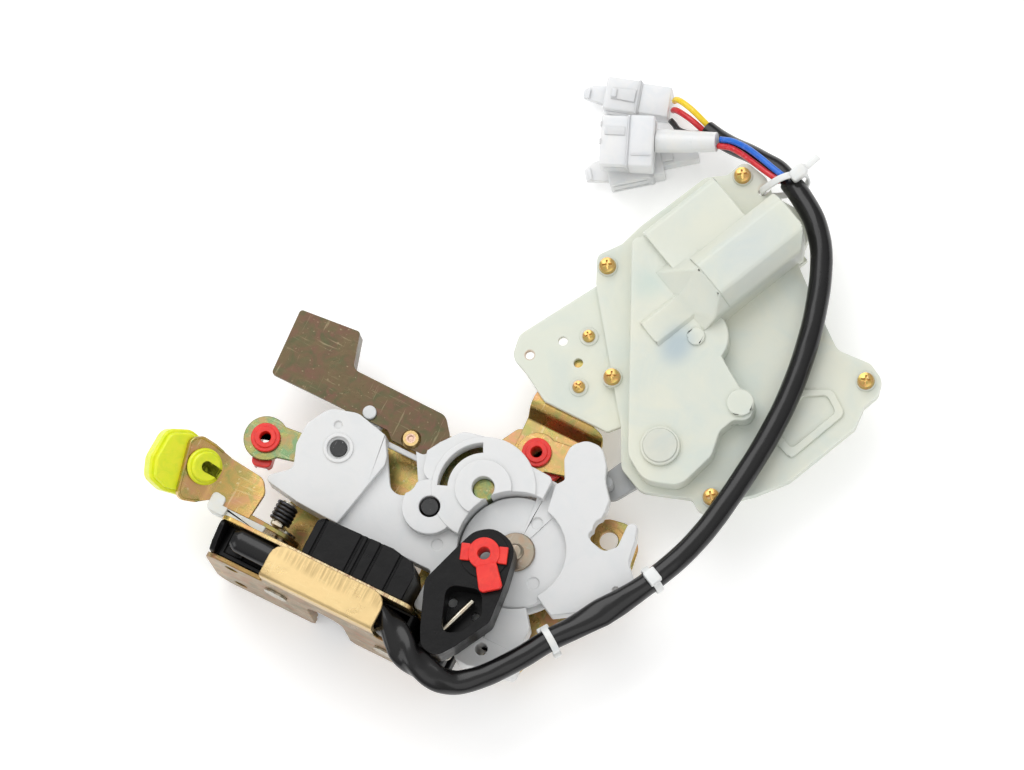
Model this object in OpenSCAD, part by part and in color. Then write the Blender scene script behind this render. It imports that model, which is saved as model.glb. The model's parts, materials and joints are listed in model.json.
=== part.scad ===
// Car door lock with a built-in power lock actuator.
// It lies as it does on a bench: +X runs along the latch, +Y from the latch face to the actuator,
// +Z out of the covers. The origin is the seat of the latched striker, on the face plate's outer face.

/* [Latch box] */
// Length of the face plate along the latch
face_l = 92; // [88:1:100]
// Thickness of the face plate and its clamp tab
face_t = 1.8; // [1.4:0.1:2]
// Height of the face plate below the striker's centre
face_down = 25; // [24:0.5:28]
// Height of the plate above the striker's centre
face_up = 15; // [15:0.5:17]
// Depth of the moulded latch case behind the face plate
case_d = 11.2; // [11:0.1:13]
// Wall of the latch case
case_wall = 1.4; // [1:0.1:1.6]
// Thickness of the back plate and the side plate
plate_t = 1.6; // [1.2:0.1:1.8]
// Width of the striker slot
slot_w = 14; // [13:0.5:15]
// Radius of the tapped mounting holes, M6
tap_r = 2.5; // [2.5:0.05:2.6]
// Height of the harness tunnel over the case
tunnel_h = 10.2; // [9.6:0.1:12]

/* [Claw and pawl] */
// Thickness of the claw and the pawl
claw_t = 5.6; // [5:0.1:6]
// Outer radius of the claw's jaws
claw_r = 24; // [23:0.5:24.5]
// Radius of the striker that the claw takes
striker_r = 4.5; // [4:0.25:5]
// Radius of the claw and pawl pins
pin_r = 4; // [3.5:0.1:4.2]
// Running clearance round a pin
pin_gap = 0.08; // [0.04:0.01:0.1]
// Turn of the claw from open to latched, degrees
claw_turn = 50; // [46:1:52]

/* [Covers and levers] */
// Height of the white cover's middle deck
deck_z = 5; // [4.8:0.1:6]
// Height of the white cover's raised left shoulder
shoulder_z = 8; // [7:0.5:9]
// Wall of the white cover
cover_wall = 2; // [1.6:0.1:2.4]
// Radius of the lock lever's round window in the cover
window_r = 20.4; // [20:0.2:21]
// Radius of the lock lever's pivot
lock_pin_r = 3; // [2.6:0.1:3.4]
// Height of the key lever
key_h = 12; // [10:0.5:12]
// Radius of the rods that the clips hold
rod_r = 2; // [1.75:0.05:2.25]
// Radius of the hole in the side plate's lower ear
ear_hole_r = 3.3; // [3.2:0.05:3.5]

/* [Actuator] */
// Thickness of the actuator's base flange
base_t = 2.5; // [2:0.1:2.6]
// Thickness of the cover's flange
lid_t = 2.5; // [2:0.1:2.6]
// Height of the gear chamber above the flange
gear_box_h = 8; // [8:0.25:9]
// Wall of the actuator's mouldings
act_wall = 1.8; // [1.5:0.1:2]
// Radius of the motor's can
motor_r = 12; // [11.5:0.1:12.2]
// Length of the motor's can
motor_l = 26; // [24:0.5:28]
// Radius of the output shaft
shaft_r = 4; // [3.5:0.1:4.5]
// Teeth on the worm wheel
wheel_teeth = 15; // [15:1:15]
// Teeth that the whole output sector would have
sector_teeth = 56; // [56:1:56]
// Teeth on the pinion
pinion_teeth = 14; // [14:1:14]

/* [Harness] */
// Outer radius of the harness sleeve
sleeve_r = 4; // [3.4:0.1:4.2]
// Radius of the sleeve's tail
tail_r = 3.6; // [3:0.1:3.8]
// Radius of one wire
wire_r = 1.1; // [0.9:0.05:1.3]
// Thickness of a cable tie's band
tie_t = 1.2; // [1:0.1:1.4]

/* [Hidden] */
$fn = 48;
eps = 0.01;

// Stack of the latch box along Y and of the levers along Z
case_y = face_t;
back_y = case_y + case_d;
back_end = back_y + plate_t;
tab_z = face_up + tunnel_h;
bench_z = -face_down;
side_top = -13.2;
side_bot = side_top - plate_t;
case_top = face_up - 0.8;
end_top = 3;
claw_y = case_y + 3;
claw_end = claw_y + claw_t;
claw_at = [-19, 3];
pawl_at = [23, -7];
striker_dir = atan2(-claw_at.y, -claw_at.x);
striker_arm = norm(claw_at);
tooth_r = claw_r + 3;
tap_at = [[-36, 8], [39, -9], [-36, -17]];
stud_l = 2.4;

// Places of the levers and pins, seen from above
inside_at = [-22.5, 55];
stop_at = [16, 50.5];
arc_at = [30, 64.5];
lock_at = [49.5, 50];
key_at = [43.5, 8.5];
key_rod_at = [43.5, 42];
peg_at = [-20.5, 72.5];
rivet_at = [-3, 70.5];
ear_at = [74, 70.5];
eye_at = [38.5, 86];
inside_rod_at = [-49.5, 48.5];
out_rod_at = [-60.5, 27.4, 14.1];
out_at = [-28, -3];
flange_tilt = 32;

// Levels of the white cover and the levers
floor_top = -1;
floor_t = 2;
lock_z = floor_top + 0.4;
lock_t = 4;
lock_top = lock_z + lock_t;
sector_top = lock_top + 2.6;
key_z = end_top + 5.2;
key_top = key_z + key_h;
lever_t = 1.8;
guard_z = -3;
eye_z = lock_z - 5.4;
in_z = -4.2;

// Actuator levels and places
flange_z = -5;
base_top = flange_z + base_t;
lid_top = base_top + lid_t;
box_top = lid_top + gear_box_h;
bracket_z = flange_z - 0.1 - plate_t;
motor_z = base_top + 6.4;
motor_at = [75.7, 180.7];
motor_dir = 65.5;
flat_h = 9.2;
out_shaft_at = [78.5, 105];
arm_pin_at = [66.5, 86.5];
wheel_at = [71.8, 145.5];
wheel_dir = atan2(wheel_at.y - out_shaft_at.y, wheel_at.x - out_shaft_at.x);
centre_d = norm(wheel_at - out_shaft_at);
pinion_r = centre_d * pinion_teeth / (pinion_teeth + sector_teeth);
gear_m = 2 * pinion_r / pinion_teeth;
worm_off = cross([cos(motor_dir), sin(motor_dir)], motor_at - wheel_at);
worm_r = 3;
wheel_r = worm_off - worm_r;
wheel_m = 2 * wheel_r / wheel_teeth;
worm_mid = -(motor_at - wheel_at) * [cos(motor_dir), sin(motor_dir)];
starts = 2;
worm_l = 13;
worm_end = worm_l / 2 + 4 - worm_mid;
gear_tip = max(wheel_r + 0.72 * wheel_m, pinion_r + 0.72 * gear_m);
arm_z = flange_z - 0.4 - 3.4;
sector_z = base_top + 0.4;
sector_h = 2.2;
wheel_h = 2.4;

// Routes. The sleeve is held from the clamp tab to the third tie, and the tail lies free from there.
sleeve_route = [
  [-38, 8.9, 19.4], [-16, 8.3, 19.4], [-3, 7.6, 19.4], [8, 7.6, 19.4], [18.5, 7.2, 19.4], [25, 5.2, 19.5], [31, 2, 19.6],
  [37, -1.4, 19.3], [43.5, -3, 18], [49.5, -3.2, 16.6], [55, -1.6, 15.2], [61, 4, 13.8],
  [66, 10.5, 12.8], [71, 18, 12], [76, 26.5, 11.4], [81.5, 34, 11], [86.5, 41.5, 10.9],
  [91.5, 49, 10.8], [96, 57, 10.6], [100, 65.5, 10], [103.5, 75, 8.8], [106.2, 86, 7.6],
  [108, 98, 6.8], [109.4, 111, 6.2], [110.3, 124, 5.8], [110.3, 137, 5.4], [109.2, 150, 5.2],
  [107.2, 162, 5.2], [104.4, 173.4, 5.2], [100.8, 184, 5.2], [96.2, 193.4, 5.2], [89.6, 201.4, 4.8], [81.8, 207, 3.6], [75, 211, 1.4]];
tail_route = [[73.7, 211.9, 1], [68.6, 214, -0.8], [62.8, 214.8, -2.8], [56, 215.8, -6], [49.2, 216.4, -9.6], [42.6, 217.4, -12.4], [37, 218.6, -13.5]];
tie_stops = [14, 18.5, 32.6];

// Geometry helpers

function unit(v) = v / norm(v);
function at(p) = [p.x, p.y];

// The arc that rounds the corner c between the points a and b with radius r
function corner(a, c, b, r, n) =
  let (u = unit(a - c), v = unit(b - c), half = acos(max(-1, min(1, u * v))) / 2)
  r <= 0 || half > 89 ? [c] :
  let (t = min(r / tan(half), 0.48 * norm(a - c), 0.48 * norm(b - c)),
       k = t * tan(half), m = c + unit(u + v) * k / sin(half), s = c + u * t - m, e = c + v * t - m,
       a0 = atan2(s.y, s.x), raw = atan2(e.y, e.x) - a0,
       d = raw > 180 ? raw - 360 : raw < -180 ? raw + 360 : raw)
  [for (i = [0:n]) m + k * [cos(a0 + d * i / n), sin(a0 + d * i / n)]];

// An outline of [x, y, radius] corners with each corner rounded
function rounded(p, n = 4) =
  [for (i = [0:len(p) - 1])
    each corner(at(p[(i + len(p) - 1) % len(p)]), at(p[i]), at(p[(i + 1) % len(p)]), p[i].z, n)];

// The same outline moved inwards by d; the corners run anticlockwise
function inset(p, d) =
  [for (i = [0:len(p) - 1])
    let (a = at(p[(i + len(p) - 1) % len(p)]), c = at(p[i]), b = at(p[(i + 1) % len(p)]),
         u = unit(c - a), v = unit(b - c), n1 = [-u.y, u.x], n2 = [-v.y, v.x],
         m = c + d * (n1 + n2) / (1 + n1 * n2), turn = cross(u, v))
    [m.x, m.y, turn > 0 ? max(p[i].z - d, 0.4) : p[i].z + d]];

// Corners of an arc round c, each with no rounding of its own
function arc_corners(c, r, a0, a1, n) =
  [for (i = [0:n]) let (a = a0 + (a1 - a0) * i / n) [c.x + r * cos(a), c.y + r * sin(a), 0]];

module slab(p, z0, z1, n = 4) { translate([0, 0, z0]) linear_extrude(z1 - z0) polygon(rounded(p, n)); }

module post(c, r, z0, z1) { translate([c.x, c.y, z0]) cylinder(r = r, h = z1 - z0); }

// A sheet cut in the X-Z plane, lying from y0 to y1
module wall_xz(p, y0, y1, n = 4) { translate([0, y1, 0]) rotate([90, 0, 0]) linear_extrude(y1 - y0) polygon(rounded(p, n)); }

module bar_y(c, r, y0, y1) { translate([c.x, y1, c.y]) rotate([90, 0, 0]) cylinder(r = r, h = y1 - y0); }

// A Y-Z profile carried along X
module run_x(p, x0, x1, n = 4) { translate([x0, 0, 0]) rotate([90, 0, 90]) linear_extrude(x1 - x0) polygon(rounded(p, n)); }

// An outline that is a straight slot between two points
module slot_2d(a, b, r) {
  let (d = b - a, l = norm(d), w = atan2(d.y, d.x))
  translate(a) rotate(w) {
    circle(r = r);
    translate([0, -r]) square([l, 2 * r]);
    translate([l, 0]) circle(r = r);
  }
}

// A spur gear's outline with straight-sided teeth
function gear_pts(n, m, count, k = 0.21) =
  let (r = n * m / 2, step = 360 / n, a = r + 0.72 * m, b = r - 1.05 * m)
  [for (i = [0:count - 1]) each [
    for (s = [[b, -0.3], [r, -k], [a, -0.1], [a, 0.1], [r, k], [b, 0.3]]) let (w = (i + s[1]) * step) s[0] * [cos(w), sin(w)]]];

// A tube along a route, one ring of n points at each stop
function catmull(p, i, t) =
  let (a = p[max(i - 1, 0)], b = p[i], c = p[i + 1], d = p[min(i + 2, len(p) - 1)])
  0.5 * ((2 * b) + (c - a) * t + (2 * a - 5 * b + 4 * c - d) * t * t + (3 * b - a - 3 * c + d) * t * t * t);

function ring(c, dir, r, n) =
  let (s = unit(cross(dir, [0, 0, 1])), w = unit(cross(s, dir)))
  [for (k = [0:n - 1]) c + r * (s * cos(360 * k / n) + w * sin(360 * k / n))];

module tube(route, r, n = 10) {
  last = len(route) - 1;
  dirs = [for (i = [0:last]) unit(route[min(i + 1, last)] - route[max(i - 1, 0)])];
  pts = [for (i = [0:last]) each ring(route[i], dirs[i], r, n)];
  polyhedron(pts, concat(
    [[for (k = [0:n - 1]) k]],
    [for (i = [0:last - 1]) for (k = [0:n - 1]) each [
      [i * n + k, (i + 1) * n + k, (i + 1) * n + (k + 1) % n],
      [i * n + k, (i + 1) * n + (k + 1) % n, i * n + (k + 1) % n]]],
    [[for (k = [n - 1:-1:0]) last * n + k]]));
}

// Carries its children to the stop s on a route, with their Z along it
module on_route(route, s) {
  i = min(floor(s), len(route) - 2);
  c = catmull(route, i, s - i);
  d = unit(catmull(route, i, min(s - i + 0.05, 1)) - catmull(route, i, max(s - i - 0.05, 0)));
  translate(c) rotate([0, acos(d.z), atan2(d.y, d.x)]) children();
}

// Latch box

face_outline = [
  [-face_l / 2, -face_down, 7], [-slot_w / 2 - 1.2, -face_down, 2], [-slot_w / 2, -face_down + 3, 1.5],
  [-slot_w / 2, 0, 0], each [for (a = [165:-15:15]) [slot_w / 2 * cos(a), slot_w / 2 * sin(a), 0]],
  [slot_w / 2, 0, 0], [slot_w / 2, -face_down + 3, 1.5], [slot_w / 2 + 1.2, -face_down, 2],
  [face_l / 2, -face_down, 7], [face_l / 2, face_up - 5, 5], [face_l / 2 - 6, face_up, 4],
  [21.5, face_up, 2], [21.5, tab_z - 1, 0], [-22.5, tab_z - 1, 0], [-22.5, face_up, 2],
  [-face_l / 2, face_up, 6]];

module face_plate() color([0.62, 0.5, 0.24]) {
  difference() {
    union() {
      wall_xz(face_outline, 0, face_t);
      for (p = tap_at) bar_y(p, tap_r + 1.7, face_t - eps, face_t + stud_l);
      // Lips that stiffen the striker slot
      for (s = [-1, 1]) wall_xz([[s * slot_w / 2, -20, 0], [s * (slot_w / 2 + 1.3), -20, 0],
        [s * (slot_w / 2 + 1.3), -2, 0], [s * slot_w / 2, -2, 0]], face_t - eps, face_t + 1.2);
      // The clamp tab folds over the harness
      intersection() {
        run_x([[0, tab_z - 1 - eps, 0], [0, tab_z + face_t, 4], [13.2, tab_z + face_t, 0], [13.2, tab_z, 0],
          [face_t, tab_z, 2.2], [face_t, tab_z - 1 - eps, 0]], -22.5, 21.5, 6);
        slab([[-22.5, 0, 0], [21.5, 0, 0], [21.5, 13.2, 5], [-22.5, 13.2, 5]], tab_z - 2, tab_z + face_t + 1);
      }
    }
    for (p = tap_at) bar_y(p, tap_r, -1, face_t + stud_l + 1);
    bar_y(claw_at, pin_r - 0.8, -1, face_t + 1);
    bar_y(pawl_at, pin_r - 0.8, -1, face_t + 1);
  }
}

claw_room = concat(arc_corners(claw_at, claw_r + 0.8, -120, 0, 12), arc_corners(claw_at, tooth_r + 0.4, 0, 23, 3),
  [[claw_at.x - 6, claw_at.y + 9.9, 3], [claw_at.x - 12, claw_at.y + 6, 4], [claw_at.x - 12, claw_at.y - 8, 4]]);
pawl_room = [[slot_w / 2, -8, 0], [slot_w / 2 + 4, -20, 3], [38, -20, 4], [33.5, -2, 4], [18, 12.4, 2], [3, 12.4, 0], [3, 5, 0]];

module latch_case() color([0.11, 0.11, 0.12]) {
  difference() {
    wall_xz([[-44.5, -face_down + 0.6, 5], [44.5, -face_down + 0.6, 5], [44.5, end_top, 3], [33, end_top, 1.5], [32, case_top, 3], [-44.5, case_top, 4]],
      case_y, back_y);
    // Chambers of the claw and the pawl, open to the face plate
    wall_xz(claw_room, case_y - 1, back_y - case_wall);
    wall_xz(pawl_room, case_y - 1, back_y - case_wall);
    // The striker's way in
    wall_xz([[-slot_w / 2 - 1.6, -face_down - 1, 0], [slot_w / 2 + 1.6, -face_down - 1, 0], [slot_w / 2 + 1.6, 3, 4], [-slot_w / 2 - 1.6, 3, 4]],
      case_y - 1, back_y - case_wall);
    // Pockets for the studs, each open to the near end
    for (p = tap_at) let (out = p.x < 0 ? -46 : 46)
      wall_xz([[min(out, p.x - 4.2), p.y - 4.2, 0.6], [max(out, p.x + 4.2), p.y - 4.2, 0.6], [max(out, p.x + 4.2), p.y + 4.2, 0.6], [min(out, p.x - 4.2), p.y + 4.2, 0.6]],
        case_y - 1, back_y - 2);
    bar_y(claw_at, pin_r, case_y - 1, back_y + 1);
    bar_y(pawl_at, pin_r, case_y - 1, back_y + 1);
    // Room for the pawl's tail peg
    wall_xz([[26.6, -18, 2], [35.5, -18, 2], [35.5, -8, 2], [26.6, -8, 2]], back_y - case_wall - 1, back_y + 1);
    // Tray under the harness
    run_x([[case_y + 2, case_top - 1.2, 0], [back_y - 1.4, case_top - 1.2, 0], [back_y - 1.4, case_top + 1, 0], [case_y + 2, case_top + 1, 0]],
      -40, 29, 0);
  }
  // Ends and ribs of the tray
  for (x = [-34.5, -24]) run_x([[case_y + 2, case_top - 1.4, 0], [back_y - 1.2, case_top - 1.4, 0], [back_y - 1.2, case_top + 1, 1], [case_y + 2, case_top + 0.4, 1]],
      x, x + 1.4);
  // Left end wall rises to the clamp's height
  run_x([[case_y, case_top - 3, 0], [back_y, case_top - 3, 0], [back_y, tab_z - 3, 2], [case_y + 3, tab_z - 6, 3], [case_y, case_top + 3, 2]], -44.5, -42.6);
}

back_outline = [
  [-face_l / 2 + 1, side_top - 1, 2], [face_l / 2 - 1, side_top - 1, 2], [face_l / 2 - 1, end_top, 3],
  [30.6, end_top, 1.5], [29.6, tab_z - 3, 3], [-face_l / 2 + 1, tab_z - 3, 4]];

// Outline of the side plate, seen from above
side_outline = [
  [-32, back_y + 0.8, 0], [67, back_y + 0.8, 0], [72, 30, 6], [80, 52, 6], [86, 64, 5], [84.5, 73, 5], [78, 79, 5], [69, 77.5, 5],
  [64, 66, 5], [59, 80, 6], [58, 93, 3], [27, 93, 3], [22, 84, 5], [3, 78.5, 5], [-27, 78.5, 5],
  [-35, 66, 6], [-34, 40, 6]];

module back_plate() color([0.66, 0.54, 0.28]) {
  difference() {
    union() {
      wall_xz(back_outline, back_y, back_end);
      slab(side_outline, side_bot, side_top);
      // Bend between the two plates
      run_x([[back_y, side_top + 4, 0], [back_y, side_bot, 3.4], [back_end + 4, side_bot, 0], [back_end + 4, side_top, 0],
        [back_end, side_top, 1.8], [back_end, side_top + 4, 0]], -32, 39.5, 6);
      // Stiff ring round the ear's hole
      post(ear_at, ear_hole_r + 2.2, side_top - eps, side_top + 0.8);
    }
    post(ear_at, ear_hole_r, side_bot - 1, side_top + 2);
    bar_y(claw_at, pin_r - 0.8, back_y - 1, back_end + 1);
    bar_y(pawl_at, pin_r - 0.8, back_y - 1, back_end + 1);
    bar_y(out_at, pin_r - 1, back_y - 1, back_end + 1);
    wall_xz([[28.5, -12.6, 1.5], [35.5, -12.6, 1.5], [35.5, -8, 1.5], [28.5, -8, 1.5]], back_y - 1, back_end + 1);
    for (c = [inside_at, stop_at, lock_at, rivet_at]) post(c, lock_pin_r - 0.8, side_bot - 1, side_top + 1);
    post(key_post_foot, 2.4, side_bot - 1, side_top + 1);
    // Lightening window under the cover
    slab([[-6, 28, 3], [20, 28, 3], [18, 41, 3], [-2, 41, 3]], side_bot - 1, side_top + 1);
  }
}

// Claw, drawn latched and turned open
claw_shape = let (p = claw_at, u = [cos(striker_dir), sin(striker_dir)], v = [-u.y, u.x], w = striker_r + 0.5,
    mouth = function (along, side) claw_at + u * along + v * side)
  concat(
    [[each mouth(sqrt(claw_r * claw_r - w * w), w), 1.2]],
    arc_corners(p, claw_r, striker_dir + 17, striker_dir + 21, 1),
    arc_corners(p, tooth_r, striker_dir + 23, striker_dir + 29, 2),
    [[p.x + 10, p.y + 9.6, 6], [p.x - 3, p.y + 9.8, 6], [p.x - 10, p.y + 4, 6], [p.x - 10, p.y - 6, 6]],
    arc_corners(p, claw_r, striker_dir - 58, striker_dir - 20, 5),
    [[each mouth(sqrt(claw_r * claw_r - w * w), -w), 1.2], [each mouth(striker_arm - 1, -w), 3.6], [each mouth(striker_arm - w - 0.4, -w), w - 0.3],
     [each mouth(striker_arm - w - 0.4, w), w - 0.3], [each mouth(striker_arm - 1, w), 3.6]]);

module claw() color([0.2, 0.2, 0.21]) {
  translate([claw_at.x, 0, claw_at.y]) rotate([0, claw_turn, 0]) translate([-claw_at.x, 0, -claw_at.y])
    difference() {
      wall_xz(claw_shape, claw_y, claw_end);
      bar_y(claw_at, pin_r + pin_gap, claw_y - 1, claw_end + 1);
    }
}

// A stepped pin riveted through both plates
module plate_pin(c) {
  bar_y(c, pin_r, face_t, back_y);
  bar_y(c, pin_r - 0.8, -0.1, back_end + 0.1);
  bar_y(c, pin_r + 0.4, -0.9, 0);
  bar_y(c, pin_r + 0.4, back_end, back_end + 0.9);
}

module claw_pin() color([0.75, 0.72, 0.6]) plate_pin(claw_at);
module pawl_pin() color([0.75, 0.72, 0.6]) plate_pin(pawl_at);

module claw_spring() color([0.35, 0.35, 0.37]) {
  translate([claw_at.x, case_y + 0.5, claw_at.y]) rotate([-90, 0, 0]) for (i = [0:1]) translate([0, 0, i * 0.97])
    rotate_extrude() translate([pin_r + 1.2, 0.5]) circle(r = 0.5, $fn = 16);
  translate([claw_at.x - pin_r - 1.2, case_y + 1, claw_at.y]) rotate([0, -90, 0]) cylinder(r = 0.45, h = 6.6);
}

module bumper() color([0.08, 0.08, 0.08])
  wall_xz([[-2.6, 8.2, 0.6], [2.6, 8.2, 0.6], [2.4, 12.2, 0.8], [-2.4, 12.2, 0.8]], case_y + 0.2, claw_y - 0.3);

pawl_shape = [
  [claw_at.x + tooth_r + 0.9, claw_at.y - 1.6, 0.6], [14.5, -5, 2], [18, -12.6, 4], [24, -13.4, 4], [30, -16, 2.5], [34, -13.4, 2.5],
  [29, -7, 4], [27, -1, 5], [19, 0.5, 4], [14, 7.5, 2], [claw_at.x + tooth_r + 0.9, claw_at.y + 4.6, 0.6]];

module pawl() color([0.55, 0.5, 0.38]) {
  difference() {
    wall_xz(pawl_shape, claw_y, claw_end);
    bar_y(pawl_at, pin_r + pin_gap, claw_y - 1, claw_end + 1);
  }
  // Peg that the release link lifts
  bar_y([31, -13], 1.4, claw_end - eps, back_y - 0.3);
}

// Release side

module spring_box() color([0.1, 0.1, 0.11]) {
  outline = [[-14.5, back_end + 0.1, 1], [25, back_end + 0.1, 1], [25, 24.5, 1], [22.5, 28.5, 1.5], [14, 30, 1], [-14.5, 29, 3]];
  difference() {
    slab(outline, -2.4, 20);
    slab(inset(outline, 1.8), -5, 17.6);
    for (x = [-11.6, 2, 4.4, 9.4, 17.4]) translate([x, back_end, 19.2]) cube([0.7, 20, 2]);
  }
}

module return_spring() color([0.16, 0.16, 0.17])
  for (i = [0:4]) translate([-29.5, 23.2 + i * 1.5, 4.5]) rotate([90, 0, 0])
    rotate_extrude() translate([3.4, 0]) circle(r = 0.76, $fn = 16);

module outside_pivot() color([0.7, 0.66, 0.5]) {
  bar_y(out_at, pin_r - 1, back_y + 0.1, 21.6);
  bar_y(out_at, pin_r + 0.6, back_end, back_end + 0.6);
  bar_y(out_at, pin_r + 0.6, 18.4 + 0.2 + lever_t, 21.6);
  // Arbor of the return spring
  bar_y([-29.5, 4.5], 2.6, 22.2, 30.4);
  wall_xz([[-32, -5, 1], [-27, -5, 1], [-27, 7, 1], [-32, 7, 1]], 21, 22.2);
}

lever_y = 18.4;

// The flange that carries the rod clip, in the clip's own frame
module on_clip() { translate(out_rod_at) rotate([0, flange_tilt, 0]) children(); }

flange_shape = [[-3.8, -15, 4], [3, -12.5, 2], [7.7, -9, 0.4], [7.7, 7.6, 0.4], [0, 9, 3], [-5.5, 9.2, 3], [-9.3, 6.3, 3]];

module outside_lever() color([0.6, 0.5, 0.3]) {
  difference() {
    union() {
      wall_xz([[-54, 8.6, 1], [-54, 4, 3], [-40, -2, 8], [-34, -9.4, 5], [-24, -9.4, 5], [-21, -4, 3], [-24, 4, 4], [-36, 9.4, 3], [-38.5, 9.8, 0.5]],
        lever_y, lever_y + lever_t);
      slab([[-55, lever_y, 0], [-38.5, lever_y, 0], [-37.5, 29, 4], [-40.5, 33.5, 4], [-55, 35, 0]], 8.4, 8.4 + lever_t);
      on_clip() {
        translate([0, 0, -lever_t]) linear_extrude(lever_t) polygon(rounded(flange_shape, 6));
        // Rolled rim on the free sides
        difference() {
          translate([0, 0, -eps]) linear_extrude(0.8) polygon(rounded(flange_shape, 6));
          translate([0, 0, -1]) linear_extrude(3) polygon(rounded(inset(flange_shape, 0.9), 6));
          translate([4, -20, -1]) cube([6, 40, 3]);
        }
      }
    }
    bar_y(out_at, pin_r - 1 + pin_gap, lever_y - 1, lever_y + lever_t + 1);
    on_clip() translate([0, 0, -5]) cylinder(r = 4, h = 10);
  }
}

module release_link() color([0.86, 0.86, 0.82]) {
  // Moulded cheek clipped on the lever's two arms
  wall_xz([[-52, 8.2, 0.5], [-52, 5.6, 1], [-44, 4, 2], [-39, 2, 2], [-34, 5, 3], [-31.8, 8.2, 0.5]], 15.4, lever_y);
  slab([[-52, 15.4, 1.5], [-31.8, 15.4, 1.5], [-31.8, lever_y, 0], [-52, lever_y, 0]], 8.1, 10.2);
  // Pad that wraps the lever's outer corner
  slab([[-53.8, 15, 2], [-46.6, 15, 1], [-46.6, lever_y - 0.05, 0], [-53.8, lever_y - 0.05, 0]], 4.5, 11.6);
  slab([[-53.8, 17, 0], [-48.6, 17, 0], [-48.6, 21.4, 1.5], [-53.8, 22, 1.5]], 10.25, 11.6);
}

// The head of the clip, seen along the rod
clip_head = [[-14.5, -12.6, 4], [-8, -14, 5], [4, -11, 4], [3, 8, 4], [-9, 9.6, 5], [-17, 5.5, 5], [-17.4, -6, 6]];

module outside_clip() color([0.82, 0.88, 0.1]) on_clip() difference() {
  union() {
    translate([0, 0, 0.02]) cylinder(r = 6.5, h = 1.8);
    translate([0, 0, 1.8]) cylinder(r = 5.4, h = 1.6);
    translate([0, 0, -lever_t - 1]) cylinder(r = 3.9, h = lever_t + 2);
    // Soft head behind the flange, stepped in at both ends
    for (l = [[-14.6, 2.1, 2.6], [-12.6, 2.1, 1], [-10.6, 6.5, 0], [-4.2, 2.38, 1.2]])
      translate([0, 0, l.x]) linear_extrude(l.y) polygon(rounded(inset(clip_head, l.z), 5));
  }
  translate([0, 0, -18]) cylinder(r = rod_r, h = 26);
  translate([0, -1.2, 0.6]) cube([9, 2.4, 5]);
}

// Inside release lever with its rod clip

module inside_lever() color([0.62, 0.6, 0.34]) {
  difference() {
    union() {
      post(inside_rod_at, 8, in_z, in_z + lever_t);
      slab([[-47, 43, 2], [-38.5, 45, 3], [-30, 47, 3], [-20, 48.4, 5], [-15.6, 55, 6], [-22, 62, 6], [-31, 58, 4], [-37, 56, 3], [-47, 55, 2]],
        in_z, in_z + lever_t);
    }
    post(inside_rod_at, 4, in_z - 1, in_z + lever_t + 1);
    post(inside_at, lock_pin_r + pin_gap, in_z - 1, in_z + lever_t + 1);
  }
}

// A snap clip for a rod: a hub through the lever and a gate that swings over the rod.
// It points along the angle a, with its hub's seat at height z
module rod_clip(c, z, a, gate_l) translate([c.x, c.y, z]) rotate([0, 0, a]) difference() {
  union() {
    translate([0, 0, -lever_t - 3.6]) cylinder(r = 3.9, h = lever_t + 5.6);
    translate([0, 0, 0.02]) cylinder(r = 5.2, h = 1.5);
    translate([0, 0, -lever_t - 5.2]) linear_extrude(5.15) polygon(rounded([[-5.2, -4.4, 2.5], [gate_l, -3.4, 2], [gate_l, 3.4, 2], [-5.2, 4.4, 2.5]]));
  }
  translate([0, 0, -9]) cylinder(r = rod_r, h = 14);
  translate([5.5, -rod_r, -lever_t - 6]) cube([gate_l, 2 * rod_r, 3.4]);
}

module inside_clip() color([0.72, 0.13, 0.12]) rod_clip(inside_rod_at, in_z + lever_t, -75, 10);

// Guard plate beside the levers, held by a peg and a rivet

guard_outline = [[-58.5, 69.8, 1.5], [-31.5, 69.8, 0.5], [-12, 69.8, 1], [-9, 67.2, 1], [5.6, 67.2, 1.5], [9.6, 76.5, 4], [4, 83.4, 4],
  [-33.2, 84, 3], [-37.2, 97, 1.2], [-60, 95, 1.2]];

module guard_plate() color([0.6, 0.56, 0.36]) {
  difference() {
    slab(guard_outline, guard_z, guard_z + plate_t);
    post(peg_at, 2.5, guard_z - 1, guard_z + 3);
    post(rivet_at, 2.2, guard_z - 1, guard_z + 3);
  }
  // Edge turned down towards the side plate
  slab([[-35, 83.4, 0], [-33.4, 84, 0], [-37.2, 96.6, 0.5], [-38.8, 96.6, 0.5]], guard_z - 8, guard_z + 1, 2);
}

module guard_rivet() color([0.72, 0.68, 0.5]) {
  post(rivet_at, 3.6, side_top, guard_z);
  post(rivet_at, lock_pin_r - 0.8, side_bot, side_top + 1);
  post(rivet_at, 2.2, guard_z - 1, guard_z + 2);
  translate([rivet_at.x, rivet_at.y, guard_z + plate_t]) difference() {
    cylinder(r1 = 3.6, r2 = 2.8, h = 1.3);
    translate([0, 0, 0.7]) cylinder(r = 1, h = 2);
  }
}

// White lever cover

cover_outline = concat([
  [-42, 34, 1.5], [-27, 31.6, 4], [-15.6, 31, 1], [26.4, 31, 1], [26.4, 16.6, 2], [47.2, 16.6, 1.5], [47.2, 7, 2], [53, 6.6, 2], [68, 11, 4], [66.6, 28, 2]],
  arc_corners(lock_at, window_r - 0.5, -52, 88, 14),
  [[50.2, 78.6, 2], [32, 79.4, 4], [22, 81.4, 6], [14, 79.6, 6], [8.6, 72.6, 5], [5, 66.4, 2], [-10, 66.4, 3],
   [-22, 69.2, 6], [-32, 66.4, 6], [-36.6, 58, 5], [-36.6, 50, 4], [-33.4, 41.6, 3]]);

arc_slot_r = 14.5;

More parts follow.
